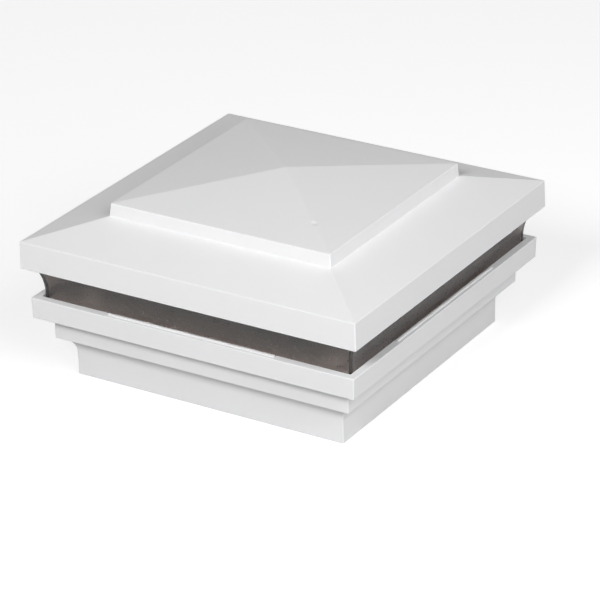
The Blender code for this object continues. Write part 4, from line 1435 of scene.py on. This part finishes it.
def set_camera(context, stage):
    deselect_all()
    bpy.ops.object.camera_add()
    camera = context.object
    back = direction(stage.azimuth, stage.elevation)
    level = Vector((math.cos(stage.azimuth), math.sin(stage.azimuth), 0.0))
    upright = back.cross(level)
    right = level * math.cos(stage.roll) + upright * math.sin(stage.roll)
    up = upright * math.cos(stage.roll) - level * math.sin(stage.roll)
    place = right * stage.aside + up * stage.raised + back * stage.distance
    camera.matrix_world = Matrix.Translation(place) @ Matrix((right, up, back)).transposed().to_4x4()
    camera.data.lens = stage.focal_length
    camera.data.sensor_width = 36.0
    camera.data.sensor_fit = "HORIZONTAL"
    context.scene.camera = camera


def add_lamp(name, away, width, power):
    aim = Vector((0.0, 0.0, CAD_BOX[1].z / 2))
    deselect_all()
    bpy.ops.object.light_add(type="AREA", location=aim + away)
    lamp = bpy.context.object
    lamp.name = name
    lamp.rotation_euler = away.to_track_quat("Z", "Y").to_euler()
    lamp.data.shape = "SQUARE"
    lamp.data.size = width
    lamp.data.energy = power
    lamp.visible_camera = False
    return lamp


def seen(tree):
    """1 for what the eye sees, straight or by gloss and glass, and 0 for light that falls on things."""
    path = add_node(tree, "ShaderNodeLightPath").outputs
    either = sum_of(tree, "MAXIMUM", path["Is Glossy Ray"], path["Is Transmission Ray"])
    direct = sum_of(tree, "LESS_THAN", path["Diffuse Depth"], 0.5)
    mirrored = sum_of(tree, "MULTIPLY", either, direct)
    return sum_of(tree, "MAXIMUM", path["Is Camera Ray"], mirrored)


def sum_of(tree, operation, first, second):
    """What an operation makes of a socket and a second socket or a number."""
    node = add_node(tree, "ShaderNodeMath", {"operation": operation}, {0: first})
    if isinstance(second, float):
        node.inputs[1].default_value = second
    else:
        tree.links.new(second, node.inputs[1])
    return node.outputs[0]


def set_world(context, stage):
    world = context.scene.world or bpy.data.worlds.new("studio")
    context.scene.world = world
    world.use_nodes = True
    tree = world.node_tree
    span = {"To Min": stage.ambient, "To Max": 1.0}
    strength = add_node(tree, "ShaderNodeMapRange", span, {"Value": seen(tree)})
    tree.nodes["Background"].inputs["Color"].default_value = (1.0, 1.0, 1.0, 1.0)
    tree.links.new(strength.outputs["Result"], tree.nodes["Background"].inputs["Strength"])


def lay_floor(context, stage):
    deselect_all()
    bpy.ops.mesh.primitive_plane_add(size=stage.floor_size, location=(0.0, 0.0, -stage.floor_gap))
    floor = context.object
    floor.name = "floor"
    material, tree, shader, place = start_material("pale_floor")
    colour = context.scene.post_cap.finishes.floor[:]
    tint = blend(tree, noise(tree, place, 400.0, 2.0), colour, 0.99)
    tree.links.new(tint, shader.inputs["Base Color"])
    shader.inputs["Roughness"].default_value = 0.9
    shader.inputs["Specular IOR Level"].default_value = 0.0
    glow = sum_of(tree, "MULTIPLY", seen(tree), stage.floor_glow)
    shader.inputs["Emission Color"].default_value = (1.0, 1.0, 1.0, 1.0)
    tree.links.new(glow, shader.inputs["Emission Strength"])
    floor.data.materials.append(material)


class POSTCAP_OT_make_stage(Operator):
    """Set the camera, the lights, the world and the floor"""

    bl_idname = "post_cap.make_stage"
    bl_label = "Make stage"

    def execute(self, context):
        stage = context.scene.post_cap.stage
        context.scene.view_settings.view_transform = "Standard"
        set_camera(context, stage)
        small, wide = stage.small_width, stage.wide_width
        for name, azimuth, elevation, width, power in (
            ("front_light", stage.front_azimuth, stage.front_elevation, small, stage.front_power),
            ("side_light", stage.side_azimuth, stage.side_elevation, wide, stage.side_power),
            ("back_light", stage.back_azimuth, stage.back_elevation, small, stage.back_power),
        ):
            lamp = add_lamp(name, direction(azimuth, elevation) * stage.light_distance, width, power)
            # The back light only fills the shade, and leaves no shine on the slopes
            lamp.visible_glossy = name != "back_light"
        set_world(context, stage)
        lay_floor(context, stage)
        return {"FINISHED"}


class POSTCAP_PT_pieces(Panel):
    """Lists the operators and the colours"""

    bl_idname = "POSTCAP_PT_pieces"
    bl_label = "Lighted post cap"
    bl_space_type = "VIEW_3D"
    bl_region_type = "UI"
    bl_category = "Post cap"

    def draw(self, context):
        for operator in OPERATORS:
            self.layout.operator(operator.bl_idname)
        finishes = context.scene.post_cap.finishes
        for name in finishes.__annotations__:
            self.layout.prop(finishes, name)


GROUPS = (
    TrimSizes,
    LensSizes,
    LidSizes,
    DeckSizes,
    FixingSizes,
    ModuleSizes,
    TerminalSizes,
    Finishes,
    StageSettings,
    PostCapSettings,
)
OPERATORS = (
    POSTCAP_OT_make_stage,
    POSTCAP_OT_make_trim,
    POSTCAP_OT_make_deck,
    POSTCAP_OT_make_lens,
    POSTCAP_OT_make_lid,
    POSTCAP_OT_make_rubber,
    POSTCAP_OT_make_screws,
    POSTCAP_OT_make_module,
    POSTCAP_OT_make_leds,
    POSTCAP_OT_make_driver,
    POSTCAP_OT_make_terminals,
)


def register():
    for made in (*GROUPS, *OPERATORS, POSTCAP_PT_pieces):
        bpy.utils.register_class(made)
    bpy.types.Scene.post_cap = PointerProperty(type=PostCapSettings)


def unregister():
    del bpy.types.Scene.post_cap
    for made in reversed((*GROUPS, *OPERATORS, POSTCAP_PT_pieces)):
        bpy.utils.unregister_class(made)


def main():
    register()
    for operator in OPERATORS:
        getattr(bpy.ops.post_cap, operator.bl_idname.split(".")[1])()


if __name__ == "__main__":
    main()
